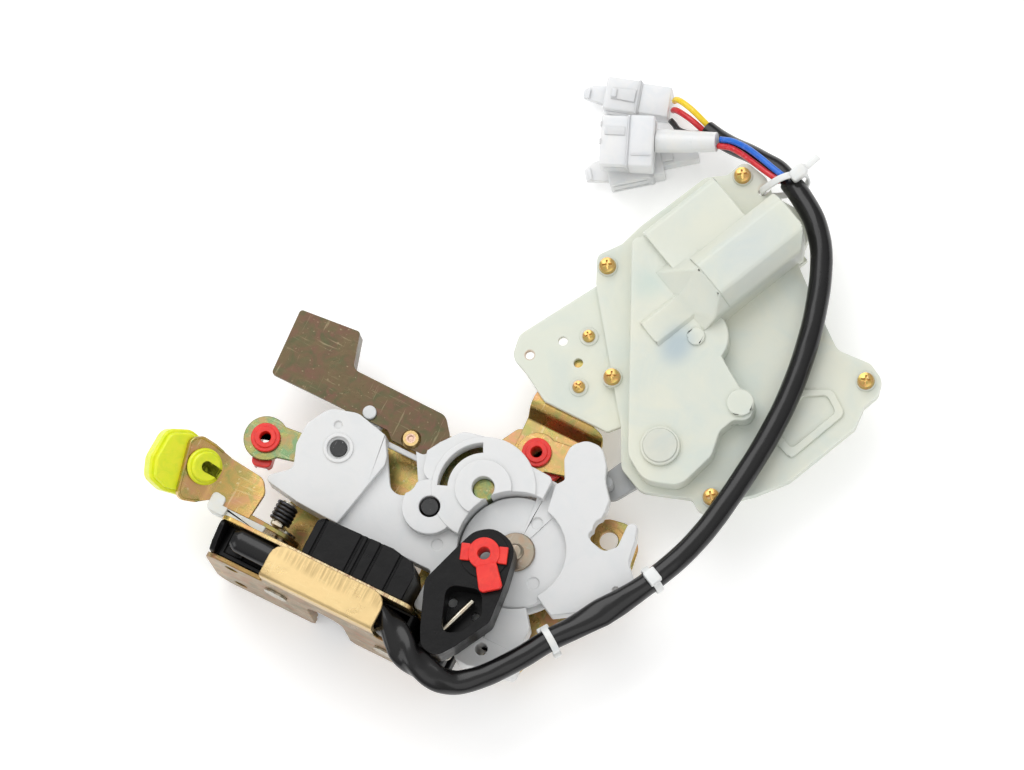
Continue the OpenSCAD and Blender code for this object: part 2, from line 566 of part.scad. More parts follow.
module lever_cover() color([0.82, 0.83, 0.78]) {
  difference() {
    union() {
      slab(cover_outline, floor_top - floor_t, deck_z);
      // Raised left shoulder and arc lobe
      intersection() {
        slab(cover_outline, deck_z - 1, shoulder_z);
        union() {
          slab([[-50, 28, 0], [-11, 28, 0], [-7, 48, 2], [-5, 57, 3], [-9, 70, 0], [-50, 72, 0]], deck_z - 2, shoulder_z);
          slab([[8, 60, 4], [17, 57, 2], [44, 60, 2], [60, 66, 2], [60, 90, 0], [0, 90, 0]], deck_z - 2, shoulder_z);
          slab([[45, 3, 0], [70, 3, 0], [70, 18, 0], [45, 18, 0]], deck_z - 2, deck_z + 0.6);
        }
      }
      post(stop_at, 9.8, deck_z - 1, shoulder_z + 0.4);
      post(arc_at, 10, deck_z - 1, shoulder_z + 2);
      post(arc_at, arc_slot_r + 3.9, deck_z - 1, shoulder_z + 0.8);
      post(inside_at, 5.4, shoulder_z - 1, shoulder_z + 0.6);
      post(lock_at, window_r + 1, floor_top - floor_t, floor_top);
      // Lug and peg of the guard plate
      slab([[-26, 62, 1], [-15, 62, 1], [-15, 76.5, 5], [-26, 76.5, 5]], guard_z - 4.2, guard_z);
      post(peg_at, 2.42, guard_z - 1, guard_z + 3);
      // Legs down to the side plate
      post(stop_at, 6, side_top, 0);
      post([lock_at.x, lock_at.y], 5.6, side_top, floor_top - 1);
      slab([[47.2, 7, 1], [68, 11, 2], [67, 20, 2], [47.2, 16.6, 1]], side_top + 0.4, 0);
      slab([[28, 17, 1], [46, 17, 1], [46, 19, 0.8], [28, 19, 0.8]], side_top, 0);
    }
    // Underside is open round the levers
    difference() {
      slab(inset(cover_outline, cover_wall), floor_top - floor_t - 1, deck_z - cover_wall - 1.2);
      post(inside_at, 6, -9, 9);
      post(stop_at, 7, -9, 9);
      post(lock_at, window_r + 1, -9, 9);
      post(arc_at, 7, -9, 9);
      slab([[46, 6, 0], [68, 6, 0], [67.5, 21, 0], [46, 21, 0]], -9, 9);
    }
    // Window of the lock lever, and the lever's way under the deck
    post(lock_at, window_r - 0.02, floor_top, 20);
    slab(concat([[lock_at.x, lock_at.y, 0]], arc_corners(lock_at, 31.5, 60, 104, 6)), floor_top, lock_top + 0.4);
    difference() {
      slab(concat([[lock_at.x, lock_at.y, 0]], arc_corners(lock_at, 36, 60, 118, 6)), -9, lock_top + 0.4);
      post(lock_at, window_r + 1, -10, 20);
      post(arc_at, 7, -10, 20);
    }
    // Way of the inside lever through the left wall
    slab([[-60, 30, 0], [-30, 30, 0], [-24, 40, 0], [-24, 61.9, 0], [-60, 64, 0]], in_z - 3, in_z + lever_t + 0.5);
    post(inside_at, 9.6, -9, in_z + lever_t + 0.2);
    // Round-bottomed pocket at the top edge
    translate([0, 0, -2]) linear_extrude(20) slot_2d([3, 55], [-5, 68], 5);
    // Arc slot that shows the lock link, and the boss's hole
    translate([0, 0, -9]) linear_extrude(30) intersection() {
      difference() { translate(arc_at) circle(r = arc_slot_r + 1.8); translate(arc_at) circle(r = arc_slot_r - 1.8); }
      polygon([arc_at, for (a = [118:14:206]) arc_at + 40 * [cos(a), sin(a)]]);
    }
    post(arc_at, 4, -9, 20);
    post(inside_at, lock_pin_r, side_top - 1, 20);
    post(stop_at, lock_pin_r + 0.8, side_top - 1, 20);
    post(inside_at, 4, shoulder_z - 0.6, 20);
    post(lock_at, lock_pin_r, side_top - 1, floor_top + 1);
    post([55, 14], 2.2, -20, 20);
    // Small round dimples left by the moulding
    post([inside_at.x - 4, inside_at.y + 7.4], 1.4, shoulder_z - 0.8, 20);
    post([24, 40], 2, deck_z - 0.5, 20);
  }
}

module cover_pin(c, top) {
  post(c, lock_pin_r, side_top, top);
  post(c, lock_pin_r - 0.8, side_bot, side_top + 1);
}

module inside_pin() color([0.07, 0.07, 0.07]) {
  cover_pin(inside_at, shoulder_z + 0.2);
  post(inside_at, 5.4, side_top, in_z - 0.1);
}
module stop_pin() color([0.07, 0.07, 0.07]) cover_pin(stop_at, shoulder_z);

module lock_link() color([0.66, 0.66, 0.4]) {
  slab([each arc_corners(arc_at, 19.4, 112, 204, 8), [arc_at.x, arc_at.y - 5, 3], [arc_at.x + 5, arc_at.y + 2, 3]], -5, -3.2);
  post(arc_at, 3.9, -5, shoulder_z - 2);
}

// Lock lever: a disc under the window, a raised rim and the hooked arms

lock_slot = [28.5, 37, 39.5];

lock_rim = [[51.4, 77, 2], [53.6, 80, 1], [50, 86.6, 3], [49.8, 92, 5], [54, 96, 5], [60, 96.4, 5], [64.4, 91, 4], [66.6, 86, 3],
  [71, 80.6, 2], [71.6, 76, 3], [71.4, 70, 2], [69.6, 66.5, 1.5], [72, 64.6, 2], [77.6, 63.4, 3], [81, 67, 2], [80.6, 76, 2], [83.6, 77.4, 1.6],
  [85.8, 71.4, 3], [87, 63.8, 3], [94, 56.6, 4], [95.6, 51.4, 4], [89, 45, 4], [78.6, 39.6, 4], [71.4, 35, 1]];

module lock_lever() color([0.84, 0.85, 0.8]) {
  difference() {
    union() {
      post(lock_at, window_r - 0.7, lock_z, lock_top - 0.6);
      slab(concat(arc_corners(lock_at, window_r - 2.6, -38, 78, 10), [for (i = [0:len(lock_rim) - 1]) lock_rim[i]]), lock_z, sector_top);
      slab(concat([[lock_at.x, lock_at.y, 0]], arc_corners(lock_at, 28.4, 70, 96, 4)), lock_z, lock_top - 0.2);
    }
    post(lock_at, lock_pin_r + pin_gap, lock_z - 1, 20);
    post(ear_at, 3.9, lock_z - 1, 20);
    post([87.5, 53], 1.4, lock_z - 1, 20);
    // Slot for the actuator's pin
    let (a = atan2(arm_pin_at.y - lock_at.y, arm_pin_at.x - lock_at.x))
      translate([0, 0, lock_z - 1]) linear_extrude(lock_t + 0.6) translate(lock_at) rotate(a)
        translate([norm(arm_pin_at - lock_at), 0]) slot_2d([-1.6, 0], [3.4, 0], 2.6);
    // Pockets that keep the rim's wall even
    slab([[74, 52, 2], [88, 52, 2], [80, 43, 3], [73, 41, 2]], lock_z - 1, lock_top);
    post([lock_at.x + 2, lock_at.y + 12.5], 2, lock_top - 1.1, 20);
    post([lock_at.x + 10.5, lock_at.y - 7], 2, lock_top - 1.1, 20);
  }
  // Post of the knob lever
  post([53.5, 89], 2, eye_z + lever_t - 0.6, lock_z + 1);
}

module lock_pivot() color([0.62, 0.56, 0.48]) {
  post(lock_at, lock_pin_r, side_top, lock_top + 1.6);
  post(lock_at, lock_pin_r - 0.8, side_bot, side_top + 1);
  translate([0, 0, lock_top - 0.12]) difference() {
    translate([lock_at.x, lock_at.y, 0]) cylinder(r1 = 7, r2 = 6.6, h = 1);
    post(lock_at, lock_pin_r - 0.2, -1, 3);
  }
  translate([lock_at.x, lock_at.y, lock_top + 1.5]) cylinder(r1 = 3, r2 = 2, h = 0.8);
}

module knob_lever() color([0.64, 0.55, 0.26]) difference() {
  union() {
    post(eye_at, 7.4, eye_z, eye_z + lever_t);
    slab([[40, 80, 2], [54, 83.6, 4], [58, 90, 4], [53, 94, 4], [40, 92.5, 3]], eye_z, eye_z + lever_t);
  }
  post(eye_at, 4, eye_z - 1, eye_z + 4);
  post([53.5, 89], 2, eye_z + lever_t - 0.6, eye_z + 4);
}

module knob_clip() color([0.72, 0.12, 0.1]) rod_clip(eye_at, eye_z + lever_t, -28, 11);

// Key lever: a deep shell with a hub for the rod, turning on a post at the latch's end

key_post_foot = [47.5, 22];
key_outline = [[36.2, 47.5, 7.5], [33.6, 40, 6], [28.8, 25, 5], [35.4, 9, 5], [38.4, 3.4, 4.5], [44.6, 2.4, 4.5], [49, 8.4, 4],
  [56, 21.5, 4], [54.6, 36, 5], [52, 50, 8], [42, 52, 8]];
key_pocket = [[36.4, 27, 3.5], [42.6, 10.5, 3], [49, 14.5, 3], [52.4, 22.6, 3], [48.5, 30.5, 3.5]];

module key_pivot() color([0.5, 0.48, 0.42]) {
  post(key_at, 2.6, key_z - 4.6, key_top - 3);
  post(key_at, 3.5, key_z - 4.6, key_z - 0.5);
  // Bent foot from the pivot to the side plate
  slab([[39.7, 5, 2], [46.8, 5, 2], [46.8, 12.4, 1], [46.4, back_end + 1.6, 0.5], [40, back_end + 1.6, 0.5]], key_z - 4.6, key_z - 3);
  wall_xz([[40, side_top + 0.02, 0], [46.4, side_top + 0.02, 0], [46.4, key_z - 3, 0], [40, key_z - 3, 0]], back_end + 0.02, back_end + 1.6);
}

module key_lever() color([0.09, 0.09, 0.1]) {
  difference() {
    union() {
      slab(key_outline, key_z, key_top);
      post(key_rod_at, 8.4, key_z, key_top + 0.6);
    }
    post(key_at, 2.6 + pin_gap, key_z - 1, key_top - 2.8);
    // Open pocket and its two drain holes
    slab(key_pocket, key_z + 2.2, key_top + 1);
    post([39.5, 23.5], 1.7, key_z - 1, key_top);
    post([49, 22.5], 1.5, key_z - 1, key_top);
    // Underside is a shell
    difference() {
      slab(inset(key_outline, 2), key_z - 1, key_z + key_h - 2);
      slab(inset(key_pocket, -1.8), key_z - 2, key_top);
      post(key_at, 5, key_z - 2, key_top);
      post(key_rod_at, 6.4, key_z - 2, key_top);
    }
    post(key_rod_at, 4, key_z - 1, key_top + 2);
    // Seat of the cross pin
    translate([41.6, 12.6, key_z + 6]) rotate([0, 90, 71]) cylinder(r = 1.25, h = 15);
  }
}

module key_cross_pin() color([0.6, 0.6, 0.56]) translate([41.6, 12.6, key_z + 6]) rotate([0, 90, 71]) cylinder(r = 1.2, h = 14.6);

module key_clip() color([0.7, 0.1, 0.08]) translate([key_rod_at.x, key_rod_at.y, key_top + 0.6]) difference() {
  union() {
    translate([0, 0, -7]) cylinder(r = 3.95, h = 8);
    translate([0, 0, 0.02]) cylinder(r = 5.6, h = 1.8);
    // Two ears and the snap gate
    for (a = [20, 200]) rotate([0, 0, a]) translate([5, -3, 0.02]) cube([3.2, 6, 1.4]);
    rotate([0, 0, -52]) translate([0, 0, 0.02]) linear_extrude(2.2) polygon(rounded([[4, -3.6, 1], [13.5, -4.2, 1.6], [13.5, 4.2, 1.6], [4, 3.6, 1]]));
  }
  translate([0, 0, -9]) cylinder(r = rod_r + 0.2, h = 14);
}

// Actuator

actuator_outline = [
  [57.6, 103.2, 1.5], [61.2, 107, 1.5], [68.4, 93.4, 4], [78, 89, 6], [87.6, 92, 3], [95.4, 94.6, 2], [99.6, 91.4, 4], [105, 93.4, 4], [107, 99, 3],
  [114.6, 105.6, 3], [123, 115, 6], [135, 142, 3], [134.4, 150, 2], [137, 156, 3.5], [135.6, 161.8, 3.5], [129.6, 165, 4], [117, 164.4, 5],
  [101, 177, 6], [90.6, 186, 3], [89.6, 196, 4], [84, 203.4, 3], [71.4, 204.4, 2], [66.4, 209, 3.5], [56.6, 211.4, 3.5], [53.6, 204, 2], [47, 199.8, 5],
  [34.6, 174, 3], [31.6, 165.4, 2], [25.6, 158, 3], [30, 148.6, 2], [22.6, 134, 4]];
lid_outline = [for (i = [0:len(actuator_outline) - 1]) if (i > 0 && i < len(actuator_outline) - 1) actuator_outline[i]];
tab_outline = [[57.6, 103.2, 1.5], [61.4, 107.4, 0], [66, 130, 0], [36, 152, 0], [30, 148.6, 3], [13.6, 121, 5], [15, 112.6, 5], [22, 109.6, 4], [32.6, 103.4, 3]];
gear_outline = [[35, 168, 3], [69.6, 97.4, 6], [78.6, 91.6, 8], [91, 95.5, 7], [96, 110, 6], [94.6, 119, 4], [97, 124.6, 3], [102.4, 127, 4.5],
  [101, 134.5, 5], [93.5, 136.2, 4], [86.6, 140.6, 4], [82, 144, 4], [77.6, 152, 4], [68, 160, 2], [52, 175, 2]];
lid_screw_at = [[30.8, 156], [50.6, 121], [58.6, 206], [131, 158.6], [101.4, 98]];
mount_screw_at = [[36, 131], [41.2, 113.2]];
tab_hole_at = [20.3, 116];
tie_hole_at = [67.5, 205];

// Carries its children to the motor, with X along its shaft
module on_motor() { translate([motor_at.x, motor_at.y, motor_z]) rotate([0, 0, motor_dir]) children(); }

// A profile along the motor's shaft, carried across it
module across_motor(p) { translate([0, 30, 0]) rotate([90, 0, 0]) linear_extrude(60) polygon(rounded(p, 3)); }

// A section across the motor, carried along its shaft
module along_motor(p, x0, x1) { translate([x0, 0, 0]) rotate([90, 0, 90]) linear_extrude(x1 - x0) polygon(rounded(p, 3)); }

motor_roof = motor_r + act_wall + 0.2;
motor_side = flat_h + 0.3 + act_wall;
bulge_l = motor_l / 2 + 6;
motor_section = [[-motor_side, base_top - motor_z, 0], [motor_side, base_top - motor_z, 0], [motor_side, 8.6, 2], [6.5, motor_roof, 2.5],
  [-6.5, motor_roof, 2.5], [-motor_side, 8.6, 3]];
motor_plan = [[-motor_l / 2 - 5.5, -motor_side - 1, 0], [bulge_l - 6.1, -motor_side - 0.4, 3], [bulge_l, -motor_side + 5.4, 3], [bulge_l, motor_side + 1, 0], [-motor_l / 2 - 5.5, motor_side + 1, 0]];
motor_space = [[-flat_h - 0.3, -motor_r - 0.2, 3], [flat_h + 0.3, -motor_r - 0.2, 3], [flat_h + 0.3, 8.2, 1], [5.6, motor_r + 0.2, 2],
  [-5.6, motor_r + 0.2, 2], [-flat_h - 0.3, 8.2, 1]];
// The sloping nose in front of the motor and the low cover over the worm
nose_section = [[-motor_side, base_top - motor_z, 0], [17.6, base_top - motor_z, 0], [16.6, 3.6, 2], [5, motor_roof - 0.1, 2], [-6.5, motor_roof - 0.1, 2], [-motor_side, 8.5, 3]];
nose_space = [[-motor_side + 1.9, base_top - motor_z - 1, 0], [15.6, base_top - motor_z - 1, 0], [14.8, 2.6, 1], [4.4, motor_roof - 2, 1], [-5.8, motor_roof - 2, 1], [-motor_side + 1.9, 7.7, 2]];
nose_side = [[-14, base_top - motor_z, 0], [-14, motor_roof + 1, 0], [-17.6, motor_roof + 1, 0], [-31.6, 3, 1], [-31.6, base_top - motor_z, 0]];
nose_hollow = [[-15.2, base_top - motor_z - 1, 0], [-15.2, motor_roof + 1, 0], [-16, motor_roof + 1, 0], [-29.4, 2, 1], [-29.4, base_top - motor_z - 1, 0]];
worm_cover = [[-5.6, base_top - motor_z, 0], [5.6, base_top - motor_z, 0], [5.6, 4, 0.6], [4.2, 5.4, 1], [-4.2, 5.4, 1], [-5.6, 4, 0.6]];
// The lower box beside the motor, which holds its contacts
contact_box = [[motor_side - 2, base_top - motor_z, 0], [30, base_top - motor_z, 0], [30, 5.8, 1.5], [28.4, 7.1, 2], [motor_side - 2, 7.1, 0]];
contact_space = [[motor_side, base_top - motor_z - 1, 0], [30 - act_wall, base_top - motor_z - 1, 0], [30 - act_wall, 7.1 - act_wall, 1], [motor_side, 7.1 - act_wall, 0]];
trough_section = [[-flat_h - 0.3 - act_wall, -motor_r - act_wall, 4], [flat_h + 0.3 + act_wall, -motor_r - act_wall, 4],
  [flat_h + 0.3 + act_wall, flange_z - motor_z + 1, 0], [-flat_h - 0.3 - act_wall, flange_z - motor_z + 1, 0]];

module actuator_bracket() color([0.68, 0.55, 0.22]) difference() {
  intersection() {
    run_x([[81, side_top + 0.02, 0], [98, side_top + 0.02, 2], [101.4, bracket_z, 2], [137, bracket_z, 0], [137, bracket_z + plate_t, 0],
      [100.6, bracket_z + plate_t, 3.4], [97.2, side_top + plate_t, 1], [81, side_top + plate_t, 0]], 20, 60);
    slab([[29, 81, 3], [56, 81, 3], [57, 92, 2], [57, 101.6, 3], [50, 104, 4], [48, 120, 4], [43.6, 137, 4], [31, 137, 5], [28, 104, 3]], side_bot, 5);
  }
  for (p = mount_screw_at) post(p, 1.7, side_top - 1, 5);
  for (x = [34, 50]) post([x, 88.5], 1.5, side_top - 1, 5);
}

module actuator_base() color([0.78, 0.8, 0.76]) {
  difference() {
    union() {
      slab(lid_outline, flange_z, base_top);
      slab(tab_outline, flange_z, base_top);
      for (p = mount_screw_at) post(p, 3.4, flange_z, base_top + 0.6);
      on_motor() along_motor(trough_section, -motor_l / 2 - 2, motor_l / 2 + 2);
      post(out_shaft_at, 8, flange_z - 0.2, base_top);
    }
    on_motor() along_motor(motor_space, -motor_l / 2 - 0.3, motor_l / 2 + 0.3);
    post(out_shaft_at, shaft_r + 0.08, flange_z - 2, base_top + 2);
    post(tab_hole_at, 1.6, flange_z - 1, base_top + 1);
    post(wheel_at, 1.5, flange_z + 1, base_top + 1);
    for (p = mount_screw_at) post(p, 1.6, flange_z - 1, base_top + 1);
    for (p = lid_screw_at) post(p, 1.4, flange_z - 1, base_top + 1);
    translate([tie_hole_at.x, tie_hole_at.y, flange_z - 1]) linear_extrude(9) slot_2d([0, -1], [0.6, 0.6], 1.5);
  }
}

module actuator_lid() color([0.8, 0.82, 0.78]) {
  difference() {
    union() {
      slab(lid_outline, base_top, lid_top);
      slab(gear_outline, lid_top - 1, box_top);
      on_motor() {
        intersection() {
          along_motor(motor_section, -motor_l / 2 - 5.5, bulge_l);
          slab(motor_plan, -20, 20);
        }
        along_motor(contact_box, -motor_l / 2 - 12, bulge_l - 12.5);
        intersection() {
          along_motor(nose_section, -40, -14);
          across_motor(nose_side);
        }
        along_motor(worm_cover, -worm_end - act_wall, -motor_l / 2);
      }
      post(wheel_at, gear_tip + 0.5 + act_wall, lid_top - 1, box_top);
      post(out_shaft_at, 7, box_top - 1, box_top + 1.6);
      post(wheel_at, 3.2, box_top - 1, box_top + 1);
      post([60, 143.2], 3.2, box_top - 1, box_top + 1);
      post([96.6, 131], 4.8, box_top - 1, box_top + 1.4);
      for (p = lid_screw_at) post(p, 3.6, base_top, lid_top + 0.8);
      // Stiffening frame in the flange's far corner
      difference() {
        slab([[106, 128, 2], [120, 122, 2], [130, 145, 3], [122, 151, 3], [112, 146, 2]], lid_top - 1, lid_top + 1);
        slab([[109, 130, 1.5], [118.6, 126, 1.5], [126.6, 144, 2], [121, 148, 2], [114, 144, 1.5]], lid_top - 1, lid_top + 2);
      }
    }
    slab(inset(gear_outline, act_wall), base_top - 1, box_top - act_wall);
    on_motor() {
      along_motor(motor_space, -motor_l / 2 - 0.3, motor_l / 2 + 0.3);
      along_motor(contact_space, -motor_l / 2 - 12 + act_wall, bulge_l - 12.5 - act_wall);
      translate([-motor_l / 2 + 1, 0, 0]) rotate([0, -90, 0]) cylinder(r = worm_r + 0.9, h = worm_end + 1 - motor_l / 2);
      intersection() {
        along_motor(nose_space, -40, -15.2);
        across_motor(nose_hollow);
      }
    }
    post(wheel_at, gear_tip + 0.5, base_top - 1, box_top - act_wall);
    post(out_shaft_at, shaft_r + 0.08, box_top - 3, box_top + 3);
    post(wheel_at, 1.5, base_top, box_top - 0.8);
    for (p = lid_screw_at) post(p, 1.7, base_top - 1, lid_top + 2);
    translate([tie_hole_at.x, tie_hole_at.y, flange_z - 1]) linear_extrude(19) slot_2d([0, -1], [0.6, 0.6], 1.5);
  }
}

module lid_screws() color([0.6, 0.6, 0.62]) for (p = lid_screw_at) screw(p, lid_top + 0.8, 3.2, 1.4, 6.4, 2.4);
module mount_screws() color([0.6, 0.6, 0.62]) for (p = mount_screw_at) screw(p, base_top + 0.6, 2.7, 1.6, 6.2, 1.6);

// A pan-head screw with a cross recess
module screw(c, z, head_r, thread_r, l, head_h) translate([c.x, c.y, z]) {
  difference() {
    cylinder(r1 = head_r, r2 = head_r * 0.82, h = head_h);
    for (a = [45, 135]) rotate([0, 0, a]) translate([-head_r * 0.55, -0.35, head_h - 0.8]) cube([head_r * 1.1, 0.7, 2]);
  }
  translate([0, 0, -l]) cylinder(r = thread_r, h = l + eps);
}

module motor() color([0.55, 0.58, 0.62]) on_motor() {
  intersection() {
    rotate([0, 90, 0]) translate([0, 0, -motor_l / 2]) cylinder(r = motor_r, h = motor_l - 2);
    translate([-motor_l, -flat_h, -motor_r]) cube([2 * motor_l, 2 * flat_h, 2 * motor_r]);
  }
  rotate([0, 90, 0]) {
    translate([0, 0, motor_l / 2 - 2]) cylinder(r = 8.4, h = 2);
    translate([0, 0, -motor_l / 2 - 0.2]) cylinder(r = 5, h = 1);
  }
}

// The worm's end view: one lobe for each start
function worm_section(root, tip) = [for (k = [0:35])
  let (a = k * 10, f = cos(a * starts)) (root + (tip - root) * max(0, min(1, 0.5 + 1.9 * (f - 0.62)))) * [cos(a), sin(a)]];

module worm() color([0.5, 0.5, 0.52]) on_motor() {
  lead = PI * wheel_m * starts;
  l = worm_l;
  translate([worm_mid - l / 2, 0, 0]) rotate([0, 90, 0])
    linear_extrude(l, twist = -360 * l / lead, slices = 26) rotate(180 - 180 * l / lead) polygon(worm_section(worm_r - 1, worm_r + 0.45));
  translate([worm_mid - l / 2 - 3, 0, 0]) rotate([0, 90, 0]) cylinder(r = 1.6, h = -worm_mid - motor_l / 2 - 0.4 + l / 2 + 3);
}

module worm_wheel() color([0.85, 0.84, 0.8]) translate([wheel_at.x, wheel_at.y, 0]) {
  to_worm = motor_dir + 90;
  translate([0, 0, motor_z - wheel_h / 2]) rotate(to_worm) linear_extrude(wheel_h) polygon(gear_pts(wheel_teeth, wheel_m, wheel_teeth, 0.17));
  translate([0, 0, sector_z]) rotate(wheel_dir + 180 + 180 / pinion_teeth) linear_extrude(sector_h) polygon(gear_pts(pinion_teeth, gear_m, pinion_teeth));
  translate([0, 0, sector_z + sector_h - eps]) cylinder(r = 4.6, h = motor_z - wheel_h / 2 - sector_z - sector_h + 2 * eps);
  // Journals that turn in the base and the cover
  translate([0, 0, flange_z + 1.1]) cylinder(r = 1.5 - pin_gap, h = box_top - 0.9 - flange_z - 1.1);
}

module output_gear() color([0.83, 0.83, 0.8]) {
  translate([out_shaft_at.x, out_shaft_at.y, 0]) {
    translate([0, 0, sector_z]) rotate(wheel_dir) linear_extrude(sector_h) intersection() {
      polygon(gear_pts(sector_teeth, gear_m, sector_teeth));
      polygon(concat([[0, 0]], [for (a = [-20:2:6]) 60 * [cos(a), sin(a)]]));
    }
    translate([0, 0, sector_z]) cylinder(r = 8, h = sector_h);
    translate([0, 0, sector_z + sector_h - eps]) cylinder(r = 6, h = box_top - act_wall - 0.3 - sector_z - sector_h);
    translate([0, 0, arm_z + 3.4]) cylinder(r = shaft_r, h = box_top + 1.8 - arm_z - 3.4);
  }
}

module output_arm() color([0.42, 0.43, 0.42]) difference() {
  union() {
    slab([[out_shaft_at.x + 5.4, out_shaft_at.y - 1.2, 4], [out_shaft_at.x + 1.6, out_shaft_at.y + 6.4, 5.5], [out_shaft_at.x - 6, out_shaft_at.y + 3.4, 5],
      [arm_pin_at.x - 4.8, arm_pin_at.y + 1, 4], [arm_pin_at.x - 3, arm_pin_at.y - 4.4, 4], [arm_pin_at.x + 3.6, arm_pin_at.y - 4, 4]], arm_z, arm_z + 3.4);
    post(arm_pin_at, 2, arm_z + 1, lock_top - 1.6);
  }
  post(out_shaft_at, 1.2, arm_z - 1, arm_z + 5);
}

// Harness

module harness_sleeve() color([0.08, 0.08, 0.09]) tube(sleeve_route, sleeve_r, 12);

module tie_band(s, r) on_route(sleeve_route, s) difference() {
  translate([0, 0, -1.6]) cylinder(r = r + tie_t + 0.15, h = 3.2);
  translate([0, 0, -3]) cylinder(r = r + 0.15, h = 6);
}

module tie_lower() color([0.85, 0.86, 0.85]) {
  tie_band(tie_stops[0], sleeve_r);
  on_route(sleeve_route, tie_stops[0]) translate([2.4, 3.2, -2.4]) cube([4.2, 3.4, 4.8]);
}

module tie_middle() color([0.85, 0.86, 0.85]) {
  tie_band(tie_stops[1], sleeve_r);
  on_route(sleeve_route, tie_stops[1]) translate([-sleeve_r - 4.4, -2.6, -3.4]) cube([4, 5.2, 6.8]);
}

module tie_upper() color([0.85, 0.86, 0.85]) {
  tie_band(tie_stops[2], sleeve_r);
  on_route(sleeve_route, tie_stops[2]) {
    translate([-sleeve_r - 4.4, -2.6, -2.2]) cube([4, 5.2, 4.4]);
    // The strap's free end
    translate([-sleeve_r - 3.4, -2.4, -1.5]) rotate([0, 0, 8]) translate([0, -15, 0]) cube([tie_t, 15, 3]);
  }
}

module harness_tail() color([0.08, 0.08, 0.09]) tube(tail_route, tail_r, 10);

boot_route = [[43.8, 214.2, -5], [38.2, 211.9, -6], [31.5, 209.2, -7], [23.8, 206, -7.8]];
module harness_boot() color([0.85, 0.86, 0.84]) tube(boot_route, 3.4, 10);

wire_red_routes = [[[36, 217.6, -12.6], [30.8, 219, -12], [25.8, 220.1, -13.4], [23, 220.7, -16], [22, 220.8, -18.4]],
  [[72.2, 208.9, 5.2], [66.4, 210, 4], [60.4, 211.6, 2], [54.8, 213.2, -0.8], [49.4, 214, -3.2], [44.9, 213.1, -4.9]]];
wire_blue_route = [[73.2, 210.8, 5.9], [67.6, 212.2, 5.2], [61.6, 214, 3.5], [55.4, 215.7, 0.6], [49.4, 216.4, -2.6], [44.6, 215.5, -4.5]];
wire_yellow_route = [[36.4, 219.9, -12], [30.6, 221.8, -10.6], [25.6, 223.2, -11.4], [22.2, 224, -14.2], [21.1, 223.8, -17.2]];
wire_black_route = [[36.5, 217.6, -15.6], [31.4, 215.6, -17.4], [27, 215.4, -19.2], [24, 216.9, -20.6], [22.2, 217.7, -21]];

module wires_red() color([0.6, 0.1, 0.1]) for (r = wire_red_routes) tube(r, wire_r, 8);
module wires_blue() color([0.16, 0.2, 0.5]) tube(wire_blue_route, wire_r, 8);
module wire_yellow() color([0.8, 0.7, 0.1]) tube(wire_yellow_route, wire_r, 8);
module wire_black() color([0.06, 0.06, 0.06]) tube(wire_black_route, wire_r, 8);

// A moulded plug: a narrow neck, a body with a hollow mouth or a tongue at its far end, and a latch on top
module plug(c, a, l, w, h, mouth, neck = 0) translate([c.x, c.y, c.z]) rotate([0, 0, a]) {
  difference() {
    translate([0, -w / 2, 0]) linear_extrude(h) polygon(rounded(neck > 0
      ? [[0, w * 0.26, 1], [neck, w * 0.26, 0.4], [neck, 0, 1], [l, 0, 1.6], [l, w, 1.6], [neck, w, 1], [neck, w * 0.74, 0.4], [0, w * 0.74, 1]]
      : [[0, 0, 1], [l, 0, 1.6], [l, w, 1.6], [0, w, 1]]));
    if (mouth) translate([l - 9, -w / 2 + 1.4, 1.4]) cube([20, w - 2.8, h - 2.8]);
  }
  translate([l * 0.42, -2.4, h - eps]) cube([l * 0.48, 4.8, 1.5]);
  if (!mouth) translate([l - 1, -w * 0.32, h * 0.28]) cube([8, w * 0.64, h * 0.34]);
}

plug_h = 10.4;
plug_stack = bench_z + plug_h + 1.6;
module plug_tail() color([0.85, 0.87, 0.88]) plug([20, 222.3, bench_z], 197, 23.4, 12, plug_h, false);
module plug_wires() color([0.85, 0.87, 0.88]) plug([24, 204.3, plug_stack], 203.5, 19, 19, plug_h, true);
module plug_lower() color([0.85, 0.87, 0.88]) plug([36.5, 211.5, bench_z], 218, 33, 14.6, plug_h, false, 13);

face_plate();
latch_case();
back_plate();
claw();
claw_pin();
claw_spring();
pawl();
pawl_pin();
bumper();
spring_box();
return_spring();
outside_pivot();
outside_lever();
release_link();
outside_clip();
inside_lever();
inside_clip();
guard_plate();
guard_rivet();
lever_cover();
inside_pin();
stop_pin();
lock_link();
lock_lever();
lock_pivot();
knob_lever();
knob_clip();
key_pivot();
key_lever();
key_cross_pin();
key_clip();
actuator_bracket();
actuator_base();
actuator_lid();
lid_screws();
mount_screws();
motor();
worm();
worm_wheel();
output_gear();
output_arm();
harness_sleeve();
tie_lower();
tie_middle();
tie_upper();
harness_tail();
harness_boot();
wires_red();
wires_blue();
wire_yellow();
wire_black();
plug_tail();
plug_wires();
plug_lower();
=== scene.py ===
"""Looks of a car door lock: latch, levers, actuator and wiring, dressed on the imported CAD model."""
from __future__ import annotations

import json
import logging
import math
from dataclasses import dataclass
from enum import Enum
from typing import Callable, Sequence

import bmesh
import bpy
from mathutils import Matrix, Vector, noise

